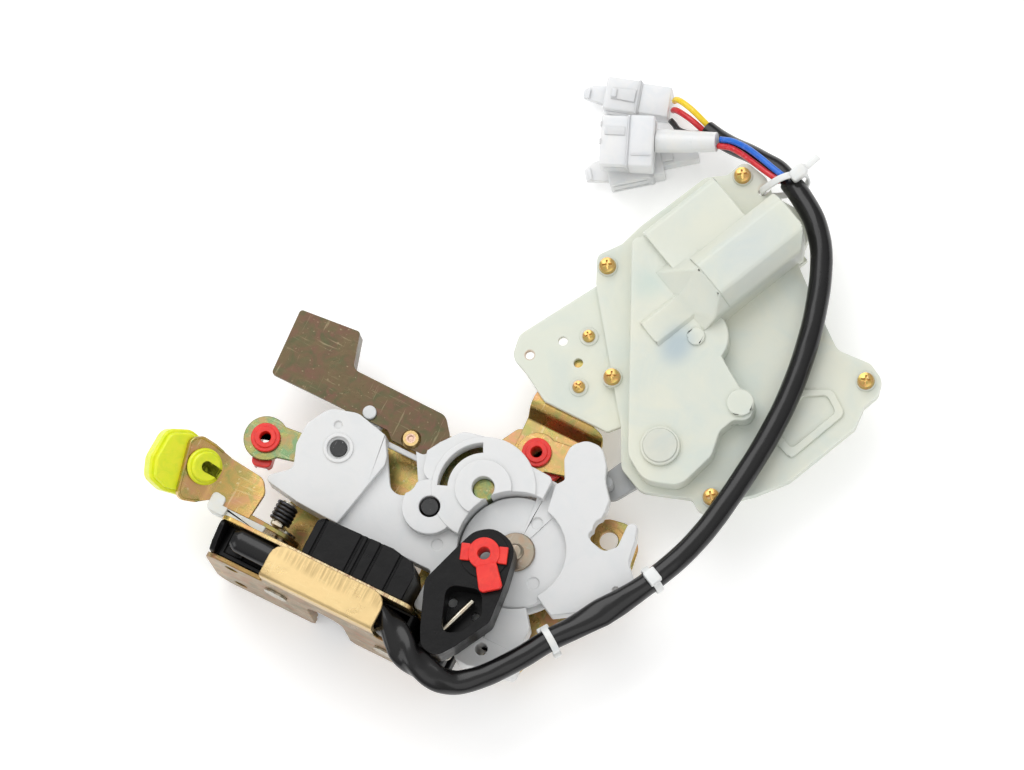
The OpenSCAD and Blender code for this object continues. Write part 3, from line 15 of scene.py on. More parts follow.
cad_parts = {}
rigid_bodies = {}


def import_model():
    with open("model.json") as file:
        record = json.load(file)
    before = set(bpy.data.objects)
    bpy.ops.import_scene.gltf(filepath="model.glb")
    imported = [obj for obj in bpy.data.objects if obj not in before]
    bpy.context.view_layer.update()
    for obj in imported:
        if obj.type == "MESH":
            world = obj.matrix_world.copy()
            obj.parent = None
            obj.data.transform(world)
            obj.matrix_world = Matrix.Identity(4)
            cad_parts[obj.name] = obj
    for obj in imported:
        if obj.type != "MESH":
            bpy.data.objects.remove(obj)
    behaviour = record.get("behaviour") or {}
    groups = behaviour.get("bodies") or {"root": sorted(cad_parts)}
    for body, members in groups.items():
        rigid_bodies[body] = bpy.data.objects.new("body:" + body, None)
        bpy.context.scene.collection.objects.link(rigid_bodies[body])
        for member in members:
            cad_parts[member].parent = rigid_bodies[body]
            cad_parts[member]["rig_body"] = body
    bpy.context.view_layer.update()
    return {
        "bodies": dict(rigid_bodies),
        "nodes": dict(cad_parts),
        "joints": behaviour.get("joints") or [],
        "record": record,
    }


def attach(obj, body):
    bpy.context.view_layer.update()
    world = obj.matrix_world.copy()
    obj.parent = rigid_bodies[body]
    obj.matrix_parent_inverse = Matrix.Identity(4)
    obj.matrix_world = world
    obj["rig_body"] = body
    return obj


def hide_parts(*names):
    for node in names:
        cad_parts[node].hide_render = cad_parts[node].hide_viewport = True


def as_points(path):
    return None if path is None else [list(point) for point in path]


LOG = logging.getLogger("door_lock")
MM = 0.001
Colour = tuple[float, float, float]
Point = tuple[float, float, float]

# Routes of the harness, in millimetres
SLEEVE_ROUTE: tuple[Point, ...] = (
    (-38, 8.9, 19.4), (-16, 8.3, 19.4), (-3, 7.6, 19.4), (8, 7.6, 19.4), (18.5, 7.2, 19.4), (25, 5.2, 19.5),
    (31, 2, 19.6), (37, -1.4, 19.3), (43.5, -3, 18), (49.5, -3.2, 16.6), (55, -1.6, 15.2), (61, 4, 13.8),
    (66, 10.5, 12.8), (71, 18, 12), (76, 26.5, 11.4), (81.5, 34, 11), (86.5, 41.5, 10.9), (91.5, 49, 10.8),
    (96, 57, 10.6), (100, 65.5, 10), (103.5, 75, 8.8), (106.2, 86, 7.6), (108, 98, 6.8), (109.4, 111, 6.2),
    (110.3, 124, 5.8), (110.3, 137, 5.4), (109.2, 150, 5.2), (107.2, 162, 5.2), (104.4, 173.4, 5.2),
    (100.8, 184, 5.2), (96.2, 193.4, 5.2), (89.6, 201.4, 4.8), (81.8, 207, 3.6), (75, 211, 1.4))
TAIL_ROUTE: tuple[Point, ...] = (
    (73.7, 211.9, 1), (68.6, 214, -0.8), (62.8, 214.8, -2.8), (56, 215.8, -6), (49.2, 216.4, -9.6),
    (42.6, 217.4, -12.4), (37, 218.6, -13.5))
BOOT_ROUTE: tuple[Point, ...] = ((43.8, 214.2, -5), (38.2, 211.9, -6), (31.5, 209.2, -7), (23.8, 206, -7.8))
TAIL_RED_ROUTE: tuple[Point, ...] = (
    (36, 217.6, -12.6), (30.8, 219, -12), (25.8, 220.1, -13.4), (23, 220.7, -16), (22, 220.8, -18.4))
UPPER_RED_ROUTE: tuple[Point, ...] = (
    (72.2, 208.9, 5.2), (66.4, 210, 4), (60.4, 211.6, 2), (54.8, 213.2, -0.8), (49.4, 214, -3.2), (44.9, 213.1, -4.9))
BLUE_ROUTE: tuple[Point, ...] = (
    (73.2, 210.8, 5.9), (67.6, 212.2, 5.2), (61.6, 214, 3.5), (55.4, 215.7, 0.6), (49.4, 216.4, -2.6),
    (44.6, 215.5, -4.5))
YELLOW_ROUTE: tuple[Point, ...] = (
    (36.4, 219.9, -12), (30.6, 221.8, -10.6), (25.6, 223.2, -11.4), (22.2, 224, -14.2), (21.1, 223.8, -17.2))
BLACK_ROUTE: tuple[Point, ...] = (
    (36.5, 217.6, -15.6), (31.4, 215.6, -17.4), (27, 215.4, -19.2), (24, 216.9, -20.6), (22.2, 217.7, -21))


class Tree:
    """Adds and joins the nodes of one node tree."""

    def __init__(self, tree: bpy.types.NodeTree) -> None:
        """Keeps the tree.

        Args:
            tree: the tree that gets the nodes.
        """
        self.tree = tree

    def add(self, kind: str, values: dict | None = None, **settings: object) -> bpy.types.Node:
        """Adds one node.

        Args:
            kind: the node's type name.
            values: input name or number to a value, or to the socket that feeds it.
            settings: the node's own properties.

        Returns:
            The new node.
        """
        node = self.tree.nodes.new(kind)
        for key, value in settings.items():
            setattr(node, key, value)
        for key, value in (values or {}).items():
            if isinstance(value, bpy.types.NodeSocket):
                self.tree.links.new(value, node.inputs[key])
            else:
                node.inputs[key].default_value = value
        return node

    def maths(self, operation: str, *values: object) -> bpy.types.NodeSocket:
        """Joins numbers or sockets by an operation.

        Args:
            operation: the operation's name.
            values: the numbers or sockets, in their order.

        Returns:
            The result's socket.
        """
        return self.add("ShaderNodeMath", dict(enumerate(values)), operation=operation).outputs[0]

    def ramp(self, value: bpy.types.NodeSocket, low: float, high: float, to_low: float = 0.0,
             to_high: float = 1.0) -> bpy.types.NodeSocket:
        """Spreads a value between two limits.

        Args:
            value: the socket that is spread.
            low: the value that gives to_low.
            high: the value that gives to_high.
            to_low: the result at low.
            to_high: the result at high.

        Returns:
            The result's socket.
        """
        return self.add("ShaderNodeMapRange", {"Value": value, "From Min": low, "From Max": high, "To Min": to_low,
                                               "To Max": to_high}).outputs["Result"]

    def blend(self, share: bpy.types.NodeSocket | float, first: object, second: object) -> bpy.types.NodeSocket:
        """Mixes two colours.

        Args:
            share: how much of the second colour.
            first: a colour or its socket.
            second: a colour or its socket.

        Returns:
            The mixed colour's socket.
        """
        node = self.add("ShaderNodeMix", {0: share}, data_type="RGBA")
        for index, value in ((6, first), (7, second)):
            if isinstance(value, bpy.types.NodeSocket):
                self.tree.links.new(value, node.inputs[index])
            else:
                node.inputs[index].default_value = value
        return node.outputs[2]


def rgba(colour: Colour) -> tuple[float, float, float, float]:
    """Gives a colour its fourth number."""
    return (*colour, 1.0)


def new_group(name: str, inputs: Sequence[tuple[str, str, object]], outputs: Sequence[tuple[str, str]]
              ) -> tuple[bpy.types.NodeTree, Tree, bpy.types.Node, bpy.types.Node]:
    """Makes an empty shader group.

    Args:
        name: the group's name.
        inputs: name, socket type and default value of each input.
        outputs: name and socket type of each output.

    Returns:
        The group, its tree helper, its input node and its output node.
    """
    group = bpy.data.node_groups.new(name, "ShaderNodeTree")
    for label, kind, value in inputs:
        socket = group.interface.new_socket(label, in_out="INPUT", socket_type=kind)
        if value is not None:
            socket.default_value = value
    for label, kind in outputs:
        group.interface.new_socket(label, in_out="OUTPUT", socket_type=kind)
    tree = Tree(group)
    return group, tree, tree.add("NodeGroupInput"), tree.add("NodeGroupOutput")


FLOAT, VECTOR, COLOUR = "NodeSocketFloat", "NodeSocketVector", "NodeSocketColor"


class Patterns:
    """The shader groups that the finishes share."""

    def __init__(self) -> None:
        """Builds each group once."""
        self.mottle = self._mottle()
        self.scuffs = self._scuffs()
        self.grain = self._grain()
        self.streaks = self._streaks()
        self.patch = self._patch()

    def _mottle(self) -> bpy.types.NodeTree:
        """Cloudy patches of two tints over a base colour."""
        group, tree, given, out = new_group(
            "Mottle", [("Vector", VECTOR, None), ("Scale", FLOAT, 100.0), ("Share", FLOAT, 0.5),
                       ("Base", COLOUR, (0.8, 0.8, 0.8, 1)), ("Warm", COLOUR, (0.8, 0.8, 0.8, 1)),
                       ("Cool", COLOUR, (0.8, 0.8, 0.8, 1))], [("Colour", COLOUR), ("Mask", FLOAT)])
        wide = tree.add("ShaderNodeTexNoise", {"Vector": given.outputs["Vector"], "Scale": given.outputs["Scale"],
                                               "Detail": 5.0, "Roughness": 0.6, "Distortion": 0.6})
        moved = tree.add("ShaderNodeVectorMath", {0: given.outputs["Vector"], 1: (0.31, 0.17, 0.47)}, operation="ADD")
        finer = tree.maths("MULTIPLY", given.outputs["Scale"], 1.7)
        small = tree.add("ShaderNodeTexNoise", {"Vector": moved.outputs[0], "Scale": finer,
                                                "Detail": 4.0, "Roughness": 0.55, "Distortion": 0.9})
        first = tree.ramp(wide.outputs["Fac"], 0.44, 0.64)
        second = tree.ramp(small.outputs["Fac"], 0.46, 0.66)
        shares = [tree.maths("MULTIPLY", mask, given.outputs["Share"]) for mask in (first, second)]
        warm = tree.blend(shares[0], given.outputs["Base"], given.outputs["Warm"])
        cool = tree.blend(shares[1], warm, given.outputs["Cool"])
        tree.tree.links.new(cool, out.inputs["Colour"])
        tree.tree.links.new(wide.outputs["Fac"], out.inputs["Mask"])
        return group

    def _scuffs(self) -> bpy.types.NodeTree:
        """Fine scratches in two directions, with specks between them."""
        group, tree, given, out = new_group("Scuffs", [("Vector", VECTOR, None), ("Scale", FLOAT, 60.0),
                                                       ("Amount", FLOAT, 0.3)], [("Mask", FLOAT)])
        parts = []
        for turn, stretch in (((0.2, 0.1, 0.5), (1.0, 14.0, 3.0)), ((0.1, 0.3, -0.9), (11.0, 1.0, 2.0))):
            turned = tree.add("ShaderNodeMapping", {"Vector": given.outputs["Vector"], "Rotation": turn,
                                                    "Scale": stretch})
            lines = tree.add("ShaderNodeTexNoise", {"Vector": turned.outputs[0], "Scale": given.outputs["Scale"],
                                                    "Detail": 3.0, "Roughness": 0.7})
            parts.append(tree.ramp(lines.outputs["Fac"], 0.62, 0.72))
        fine = tree.maths("MULTIPLY", given.outputs["Scale"], 14.0)
        specks = tree.add("ShaderNodeTexNoise", {"Vector": given.outputs["Vector"], "Scale": fine, "Detail": 1.0})
        parts.append(tree.ramp(specks.outputs["Fac"], 0.7, 0.76))
        total = tree.maths("MAXIMUM", tree.maths("MAXIMUM", parts[0], parts[1]), parts[2])
        tree.tree.links.new(tree.maths("MULTIPLY", total, given.outputs["Amount"]), out.inputs["Mask"])
        return group

    def _grain(self) -> bpy.types.NodeTree:
        """Fine unevenness of a moulded or plated surface."""
        group, tree, given, out = new_group("Grain", [("Vector", VECTOR, None), ("Scale", FLOAT, 900.0),
                                                      ("Depth", FLOAT, 0.3)], [("Normal", VECTOR)])
        fine = tree.add("ShaderNodeTexNoise", {"Vector": given.outputs["Vector"], "Scale": given.outputs["Scale"],
                                               "Detail": 3.0, "Roughness": 0.55})
        broad = tree.maths("MULTIPLY", given.outputs["Scale"], 0.14)
        wave = tree.add("ShaderNodeTexNoise", {"Vector": given.outputs["Vector"], "Scale": broad, "Detail": 2.0})
        height = tree.maths("MULTIPLY_ADD", wave.outputs["Fac"], 2.5, fine.outputs["Fac"])
        bump = tree.add("ShaderNodeBump", {"Strength": given.outputs["Depth"], "Distance": 0.0001, "Height": height})
        tree.tree.links.new(bump.outputs[0], out.inputs["Normal"])
        return group

    def _patch(self) -> bpy.types.NodeTree:
        """A soft-edged patch round a place on the part."""
        group, tree, given, out = new_group("Patch", [("Vector", VECTOR, None), ("Centre", VECTOR, (0, 0, 0)),
                                                      ("Reach", VECTOR, (0.01, 0.01, 0.01)), ("Edge", FLOAT, 0.3)],
                                            [("Mask", FLOAT)])
        away = tree.add("ShaderNodeVectorMath", {0: given.outputs["Vector"], 1: given.outputs["Centre"]},
                        operation="SUBTRACT")
        scaled = tree.add("ShaderNodeVectorMath", {0: away.outputs[0], 1: given.outputs["Reach"]}, operation="DIVIDE")
        far = tree.add("ShaderNodeVectorMath", {0: scaled.outputs[0]}, operation="LENGTH")
        inner = tree.maths("SUBTRACT", 1.0, given.outputs["Edge"])
        mask = tree.add("ShaderNodeMapRange", {"Value": far.outputs["Value"], "From Min": inner, "From Max": 1.0,
                                               "To Min": 1.0, "To Max": 0.0}, interpolation_type="SMOOTHSTEP")
        tree.tree.links.new(mask.outputs[0], out.inputs["Mask"])
        return group

    def _streaks(self) -> bpy.types.NodeTree:
        """Soft streaks across a drawn or rubbed surface."""
        group, tree, given, out = new_group("Streaks", [("Vector", VECTOR, None), ("Scale", FLOAT, 60.0),
                                                        ("Stretch", VECTOR, (1, 1, 8))], [("Mask", FLOAT)])
        laid = tree.add("ShaderNodeVectorMath", {0: given.outputs["Vector"], 1: given.outputs["Stretch"]},
                        operation="MULTIPLY")
        lines = tree.add("ShaderNodeTexNoise", {"Vector": laid.outputs[0], "Scale": given.outputs["Scale"],
                                                "Detail": 3.0, "Roughness": 0.6})
        tree.tree.links.new(tree.ramp(lines.outputs["Fac"], 0.4, 0.62), out.inputs["Mask"])
        return group


@dataclass(frozen=True)
class Tint:
    """A soft patch of another colour at a place of the part, in millimetres, plain or broken into streaks; some are the
    part's own marks and some are painted shade.
    """

    colour: Colour
    centre: Point
    reach: Point
    share: float = 1.0
    edge: float = 0.6
    streak: Point | None = None
    streak_scale: float = 60.0


@dataclass(frozen=True)
class Finish:
    """How one material looks: its tints, its gloss and its fine relief."""

    slot: str
    base: Colour
    warm: Colour
    cool: Colour
    patch: float = 90.0
    share: float = 0.5
    metal: float = 0.0
    rough: float = 0.4
    rough_spread: float = 0.12
    grain: float = 900.0
    depth: float = 0.25
    scuff: float = 0.2
    scuff_scale: float = 60.0
    scuff_colour: Colour = (0.8, 0.8, 0.8)
    coat: float = 0.0
    soft: float = 0.0
    soft_depth: float = 0.002
    ior: float = 1.5
    tints: tuple[Tint, ...] = ()

    def tinted(self, tree: Tree, patterns: Patterns, place: bpy.types.NodeSocket, colour: bpy.types.NodeSocket
               ) -> bpy.types.NodeSocket:
        """Lays the patches of other colours, the part's own marks and painted shade, over the colour.

        Args:
            tree: the material's nodes.
            patterns: the shared shader groups.
            place: the place on the part.
            colour: the colour below the patches.

        Returns:
            The colour with its patches.
        """
        for tint in self.tints:
            patch = tree.add("ShaderNodeGroup", {
                "Vector": place, "Centre": [c * MM for c in tint.centre], "Reach": [c * MM for c in tint.reach],
                "Edge": tint.edge}, node_tree=patterns.patch)
            mask = tree.maths("MULTIPLY", patch.outputs["Mask"], tint.share)
            if tint.streak:
                streaks = tree.add("ShaderNodeGroup", {"Vector": place, "Scale": tint.streak_scale,
                                                       "Stretch": tint.streak}, node_tree=patterns.streaks)
                mask = tree.maths("MULTIPLY", mask, streaks.outputs["Mask"])
            colour = tree.blend(mask, colour, rgba(tint.colour))
        return colour

    def material(self, patterns: Patterns) -> bpy.types.Material:
        """Builds the material.

        Args:
            patterns: the shared shader groups.

        Returns:
            The finished material.
        """
        made = bpy.data.materials.new(f"finish_{self.slot}")
        made.use_nodes = True
        made.node_tree.nodes.clear()
        tree = Tree(made.node_tree)
        place = tree.add("ShaderNodeTexCoord").outputs["Object"]
        mottle = tree.add("ShaderNodeGroup", {
            "Vector": place, "Scale": self.patch, "Share": self.share, "Base": rgba(self.base),
            "Warm": rgba(self.warm), "Cool": rgba(self.cool)}, node_tree=patterns.mottle)
        scuffs = tree.add("ShaderNodeGroup", {"Vector": place, "Scale": self.scuff_scale, "Amount": self.scuff},
                          node_tree=patterns.scuffs)
        grain = tree.add("ShaderNodeGroup", {"Vector": place, "Scale": self.grain, "Depth": self.depth},
                         node_tree=patterns.grain)
        colour = self.tinted(tree, patterns, place, mottle.outputs["Colour"])
        colour = tree.blend(scuffs.outputs["Mask"], colour, rgba(self.scuff_colour))
        half = self.rough_spread / 2
        rough = tree.ramp(mottle.outputs["Mask"], 0.3, 0.7, self.rough - half, self.rough + half)
        rough = tree.maths("MULTIPLY_ADD", scuffs.outputs["Mask"], 0.25, rough)
        shader = tree.add("ShaderNodeBsdfPrincipled", {
            "Base Color": colour, "Roughness": rough, "Normal": grain.outputs["Normal"],
            "Metallic": self.metal, "IOR": self.ior, "Coat Weight": self.coat, "Coat Roughness": 0.15,
            "Subsurface Weight": self.soft, "Subsurface Scale": self.soft_depth, "Subsurface Radius": (1.0, 0.95, 0.9)})
        tree.add("ShaderNodeOutputMaterial", {"Surface": shader.outputs[0]})
        return made


GOLD, ROSE, LEAF = (0.6, 0.4, 0.13), (0.56, 0.26, 0.17), (0.3, 0.36, 0.11)
CREAM = (0.86, 0.72, 0.46)

# Each finish gives its values in the order of Finish
FINISHES: tuple[Finish, ...] = (
    Finish("golden_chromate", GOLD, ROSE, LEAF, 95, 0.75, 0.92, 0.27, 0.14, 500, 0.3, 0.3, 50, (0.85, 0.76, 0.52),
           tints=(Tint(CREAM, (3, 8, 24), (44, 16, 5), 0.8, 0.4),
                  Tint((0.36, 0.2, 0.12), (3, 12, 24), (36, 6, 6), 0.85, 0.4, (14, 1, 1), 70.0))),
    # A darker copy of golden_chromate: its darker base is painted shade on the face plate's outer face; its streaks and
    # scuffs are wear
    Finish("shaded_worn_chromate", (0.3, 0.19, 0.07), (0.36, 0.17, 0.09), (0.16, 0.14, 0.05), 120, 0.8, 0.9, 0.32, 0.16, 500,
           0.35, 0.5, 55, (0.75, 0.6, 0.32),
           tints=(Tint((0.74, 0.55, 0.27), (3, 8, 24), (46, 16, 6), 0.92, 0.3),
                  Tint((0.42, 0.3, 0.14), (3, 10.5, 24), (36, 5, 6), 0.75, 0.4, (14, 1, 1), 70.0))),
    Finish("mottled_chromate", (0.115, 0.085, 0.047), (0.15, 0.078, 0.058), (0.08, 0.085, 0.043), 120, 0.8, 0.86, 0.33,
           0.16, 400, 0.4, 0.3, 60, (0.5, 0.42, 0.26)),
    Finish("olive_chromate", (0.3, 0.29, 0.1), (0.37, 0.21, 0.12), (0.15, 0.27, 0.14), 130, 0.85, 0.92, 0.27, 0.12, 500,
           0.3, 0.3, 70, (0.82, 0.78, 0.5)),
    Finish("claw_steel", (0.05, 0.05, 0.055), (0.07, 0.065, 0.06), (0.04, 0.045, 0.05), 120, 0.5, 0.0, 0.4),
    Finish("black_nylon", (0.003, 0.003, 0.0033), (0.006, 0.0055, 0.0055), (0.0025, 0.0025, 0.003), 150, 0.5, 0.0, 0.34,
           0.16, 1400, 0.4, 0.06, 90, (0.05, 0.05, 0.047), ior=1.3),
    Finish("pin_steel", (0.5, 0.47, 0.4), (0.5, 0.38, 0.25), (0.42, 0.44, 0.38), 200, 0.6, 1.0, 0.27, tints=(
        Tint((0.58, 0.4, 0.16), (-3, 70.5, 0), (6, 6, 8), 0.9, 0.2),
        Tint((0.62, 0.42, 0.34), (-3, 70.5, 0), (1.9, 1.9, 8), 0.9, 0.2))),
    Finish("pivot_washer", (0.34, 0.28, 0.22), (0.36, 0.25, 0.17), (0.28, 0.28, 0.22), 200, 0.7, 1.0, 0.34),
    Finish("spring_steel", (0.05, 0.05, 0.055), (0.08, 0.07, 0.06), (0.04, 0.05, 0.06), 200, 0.5, 0.9, 0.3),
    Finish("bumper_rubber", (0.02, 0.02, 0.02), (0.03, 0.03, 0.03), (0.02, 0.02, 0.022), 200, 0.5, 0.0, 0.7),
    Finish("milky_nylon", (0.72, 0.74, 0.72), (0.76, 0.72, 0.6), (0.66, 0.71, 0.7), 120, 0.5, 0.0, 0.36, 0.1, 700, 0.2,
           0.1, 80, (0.6, 0.58, 0.5), soft=0.3, soft_depth=0.003),
    Finish("yellow_clip", (0.74, 0.8, 0.012), (0.84, 0.8, 0.03), (0.6, 0.74, 0.01), 150, 0.6, 0.0, 0.34, 0.1, 800, 0.2,
           0.05, 80, (0.88, 0.92, 0.3), soft=0.25, soft_depth=0.003),
    Finish("red_clip", (0.8, 0.022, 0.015), (0.88, 0.05, 0.025), (0.62, 0.015, 0.012), 180, 0.5, 0.0, 0.32, 0.1, 800,
           0.2, 0.08, 80, (0.9, 0.22, 0.17), soft=0.1, soft_depth=0.0015),
    Finish("white_acetal", (0.71, 0.714, 0.714), (0.72, 0.72, 0.71), (0.66, 0.68, 0.685), 60, 0.5, 0.0, 0.38, 0.14, 800,
           0.2, 0.05, 70, (0.6, 0.6, 0.57), soft=0.25, soft_depth=0.003, tints=(
               Tint((0.62, 0.5, 0.36), (78, 78, 2), (2.2, 2, 4), 0.35, 0.9),
               # The cooler grey patch at (30, 55) is painted shade on the white moulding
               Tint((0.64, 0.67, 0.68), (30, 55, 0), (9, 8, 12), 0.5, 0.9))),
    Finish("black_pin", (0.01, 0.01, 0.011), (0.018, 0.018, 0.018), (0.008, 0.01, 0.012), 200, 0.5, 0.0, 0.3),
    Finish("milky_polypropylene", (0.66, 0.685, 0.6), (0.72, 0.72, 0.6), (0.6, 0.655, 0.6), 28, 0.7, 0.0, 0.33, 0.12,
           600, 0.22, 0.05, 60, (0.8, 0.8, 0.76), soft=0.3, soft_depth=0.004, tints=(
               # The bluish and greenish patches over the motor and gears are painted see-through shade of the parts
               # under the milky lid; the bluish one at (67, 140) is painted shadow between two bosses
               Tint((0.36, 0.46, 0.52), (67, 140, 6), (9, 11, 12), 0.75, 0.8),
               Tint((0.46, 0.6, 0.56), (48, 155, 4), (9, 9, 14), 0.5, 0.9),
               Tint((0.52, 0.6, 0.65), (76, 180, 14), (16, 22, 16), 0.45, 0.9),
               Tint((0.66, 0.66, 0.68), (88, 183, 6), (10, 10, 8), 0.35, 0.9),
               Tint((0.5, 0.33, 0.2), (20.3, 116, -3), (2.2, 2.2, 6), 0.8, 0.3),
               Tint((0.58, 0.42, 0.26), (67.5, 205, -2), (3, 3, 5), 0.5, 0.5))),
    Finish("screw_steel", (0.62, 0.4, 0.13), (0.66, 0.3, 0.13), (0.5, 0.46, 0.13), 260, 0.6, 1.0, 0.24),
    Finish("motor_can", (0.4, 0.45, 0.56), (0.5, 0.5, 0.54), (0.34, 0.42, 0.56), 90, 0.5, 0.9, 0.32),
    Finish("gear_acetal", (0.76, 0.76, 0.73), (0.78, 0.76, 0.7), (0.72, 0.76, 0.74), 120, 0.5, 0.0, 0.4, soft=0.3),
    Finish("grey_nylon", (0.36, 0.37, 0.375), (0.38, 0.38, 0.37), (0.33, 0.35, 0.36), 90, 0.5, 0.0, 0.4, 0.12, 900, 0.3,
           0.15, 70, (0.5, 0.51, 0.51)),
    Finish("sleeve_vinyl", (0.004, 0.0037, 0.0039), (0.006, 0.0055, 0.0055), (0.003, 0.003, 0.004), 90, 0.5, 0.0, 0.24,
           0.1, 260, 0.5, 0.03, 80, (0.06, 0.06, 0.065), coat=0.3, ior=1.36),
    Finish("tie_nylon", (0.78, 0.79, 0.78), (0.8, 0.78, 0.72), (0.72, 0.76, 0.76), 150, 0.4, 0.0, 0.35, soft=0.3,
           soft_depth=0.002),
    Finish("boot_vinyl", (0.76, 0.765, 0.765), (0.79, 0.77, 0.72), (0.71, 0.735, 0.745), 120, 0.5, 0.0, 0.33, soft=0.3,
           soft_depth=0.003),
    Finish("wire_red", (0.62, 0.012, 0.02), (0.7, 0.03, 0.03), (0.45, 0.01, 0.015), 300, 0.5, 0.0, 0.3, coat=0.2),
    Finish("wire_blue", (0.004, 0.13, 0.62), (0.01, 0.2, 0.72), (0.003, 0.08, 0.5), 300, 0.5, 0.0, 0.3, coat=0.2),
    Finish("wire_yellow", (0.88, 0.62, 0.006), (0.92, 0.7, 0.03), (0.78, 0.5, 0.004), 300, 0.5, 0.0, 0.3, coat=0.2),
    Finish("wire_black", (0.01, 0.01, 0.011), (0.016, 0.016, 0.016), (0.008, 0.008, 0.01), 300, 0.5, 0.0, 0.3,
           coat=0.2),
    Finish("plug_nylon", (0.74, 0.745, 0.755), (0.77, 0.765, 0.745), (0.67, 0.7, 0.725), 70, 0.6, 0.0, 0.34, 0.1, 700,
           0.2, 0.04, 80, (0.62, 0.62, 0.6), soft=0.35, soft_depth=0.004),
)


# Nodes that take a darker copy of their slot's finish: painted shade on the face plate's outer face
SHADED_COPIES: dict[str, str] = {"face_plate": "shaded_worn_chromate"}
# Across, up and radius of the spare holes in the actuator's tab, in millimetres
SPARE_HOLES: dict[str, list[tuple[float, float, float]]] = {"actuator_base": [(28.5, 125.6, 1.7), (37.0, 120.9, 1.7)]}
DRILL_LENGTH = 60.0
# A floor that leaves no edge out
NO_FLOOR = -1000.0
# Corners nearer than this, in metres, are one corner
SAME_CORNER = 2e-6
# Faces that bend less than this, in degrees, are one face
FLAT_ANGLE = 0.6
# A softened piece's edges that bend more than this, in degrees, stay sharp in the shading
SHARP_ANGLE = 48


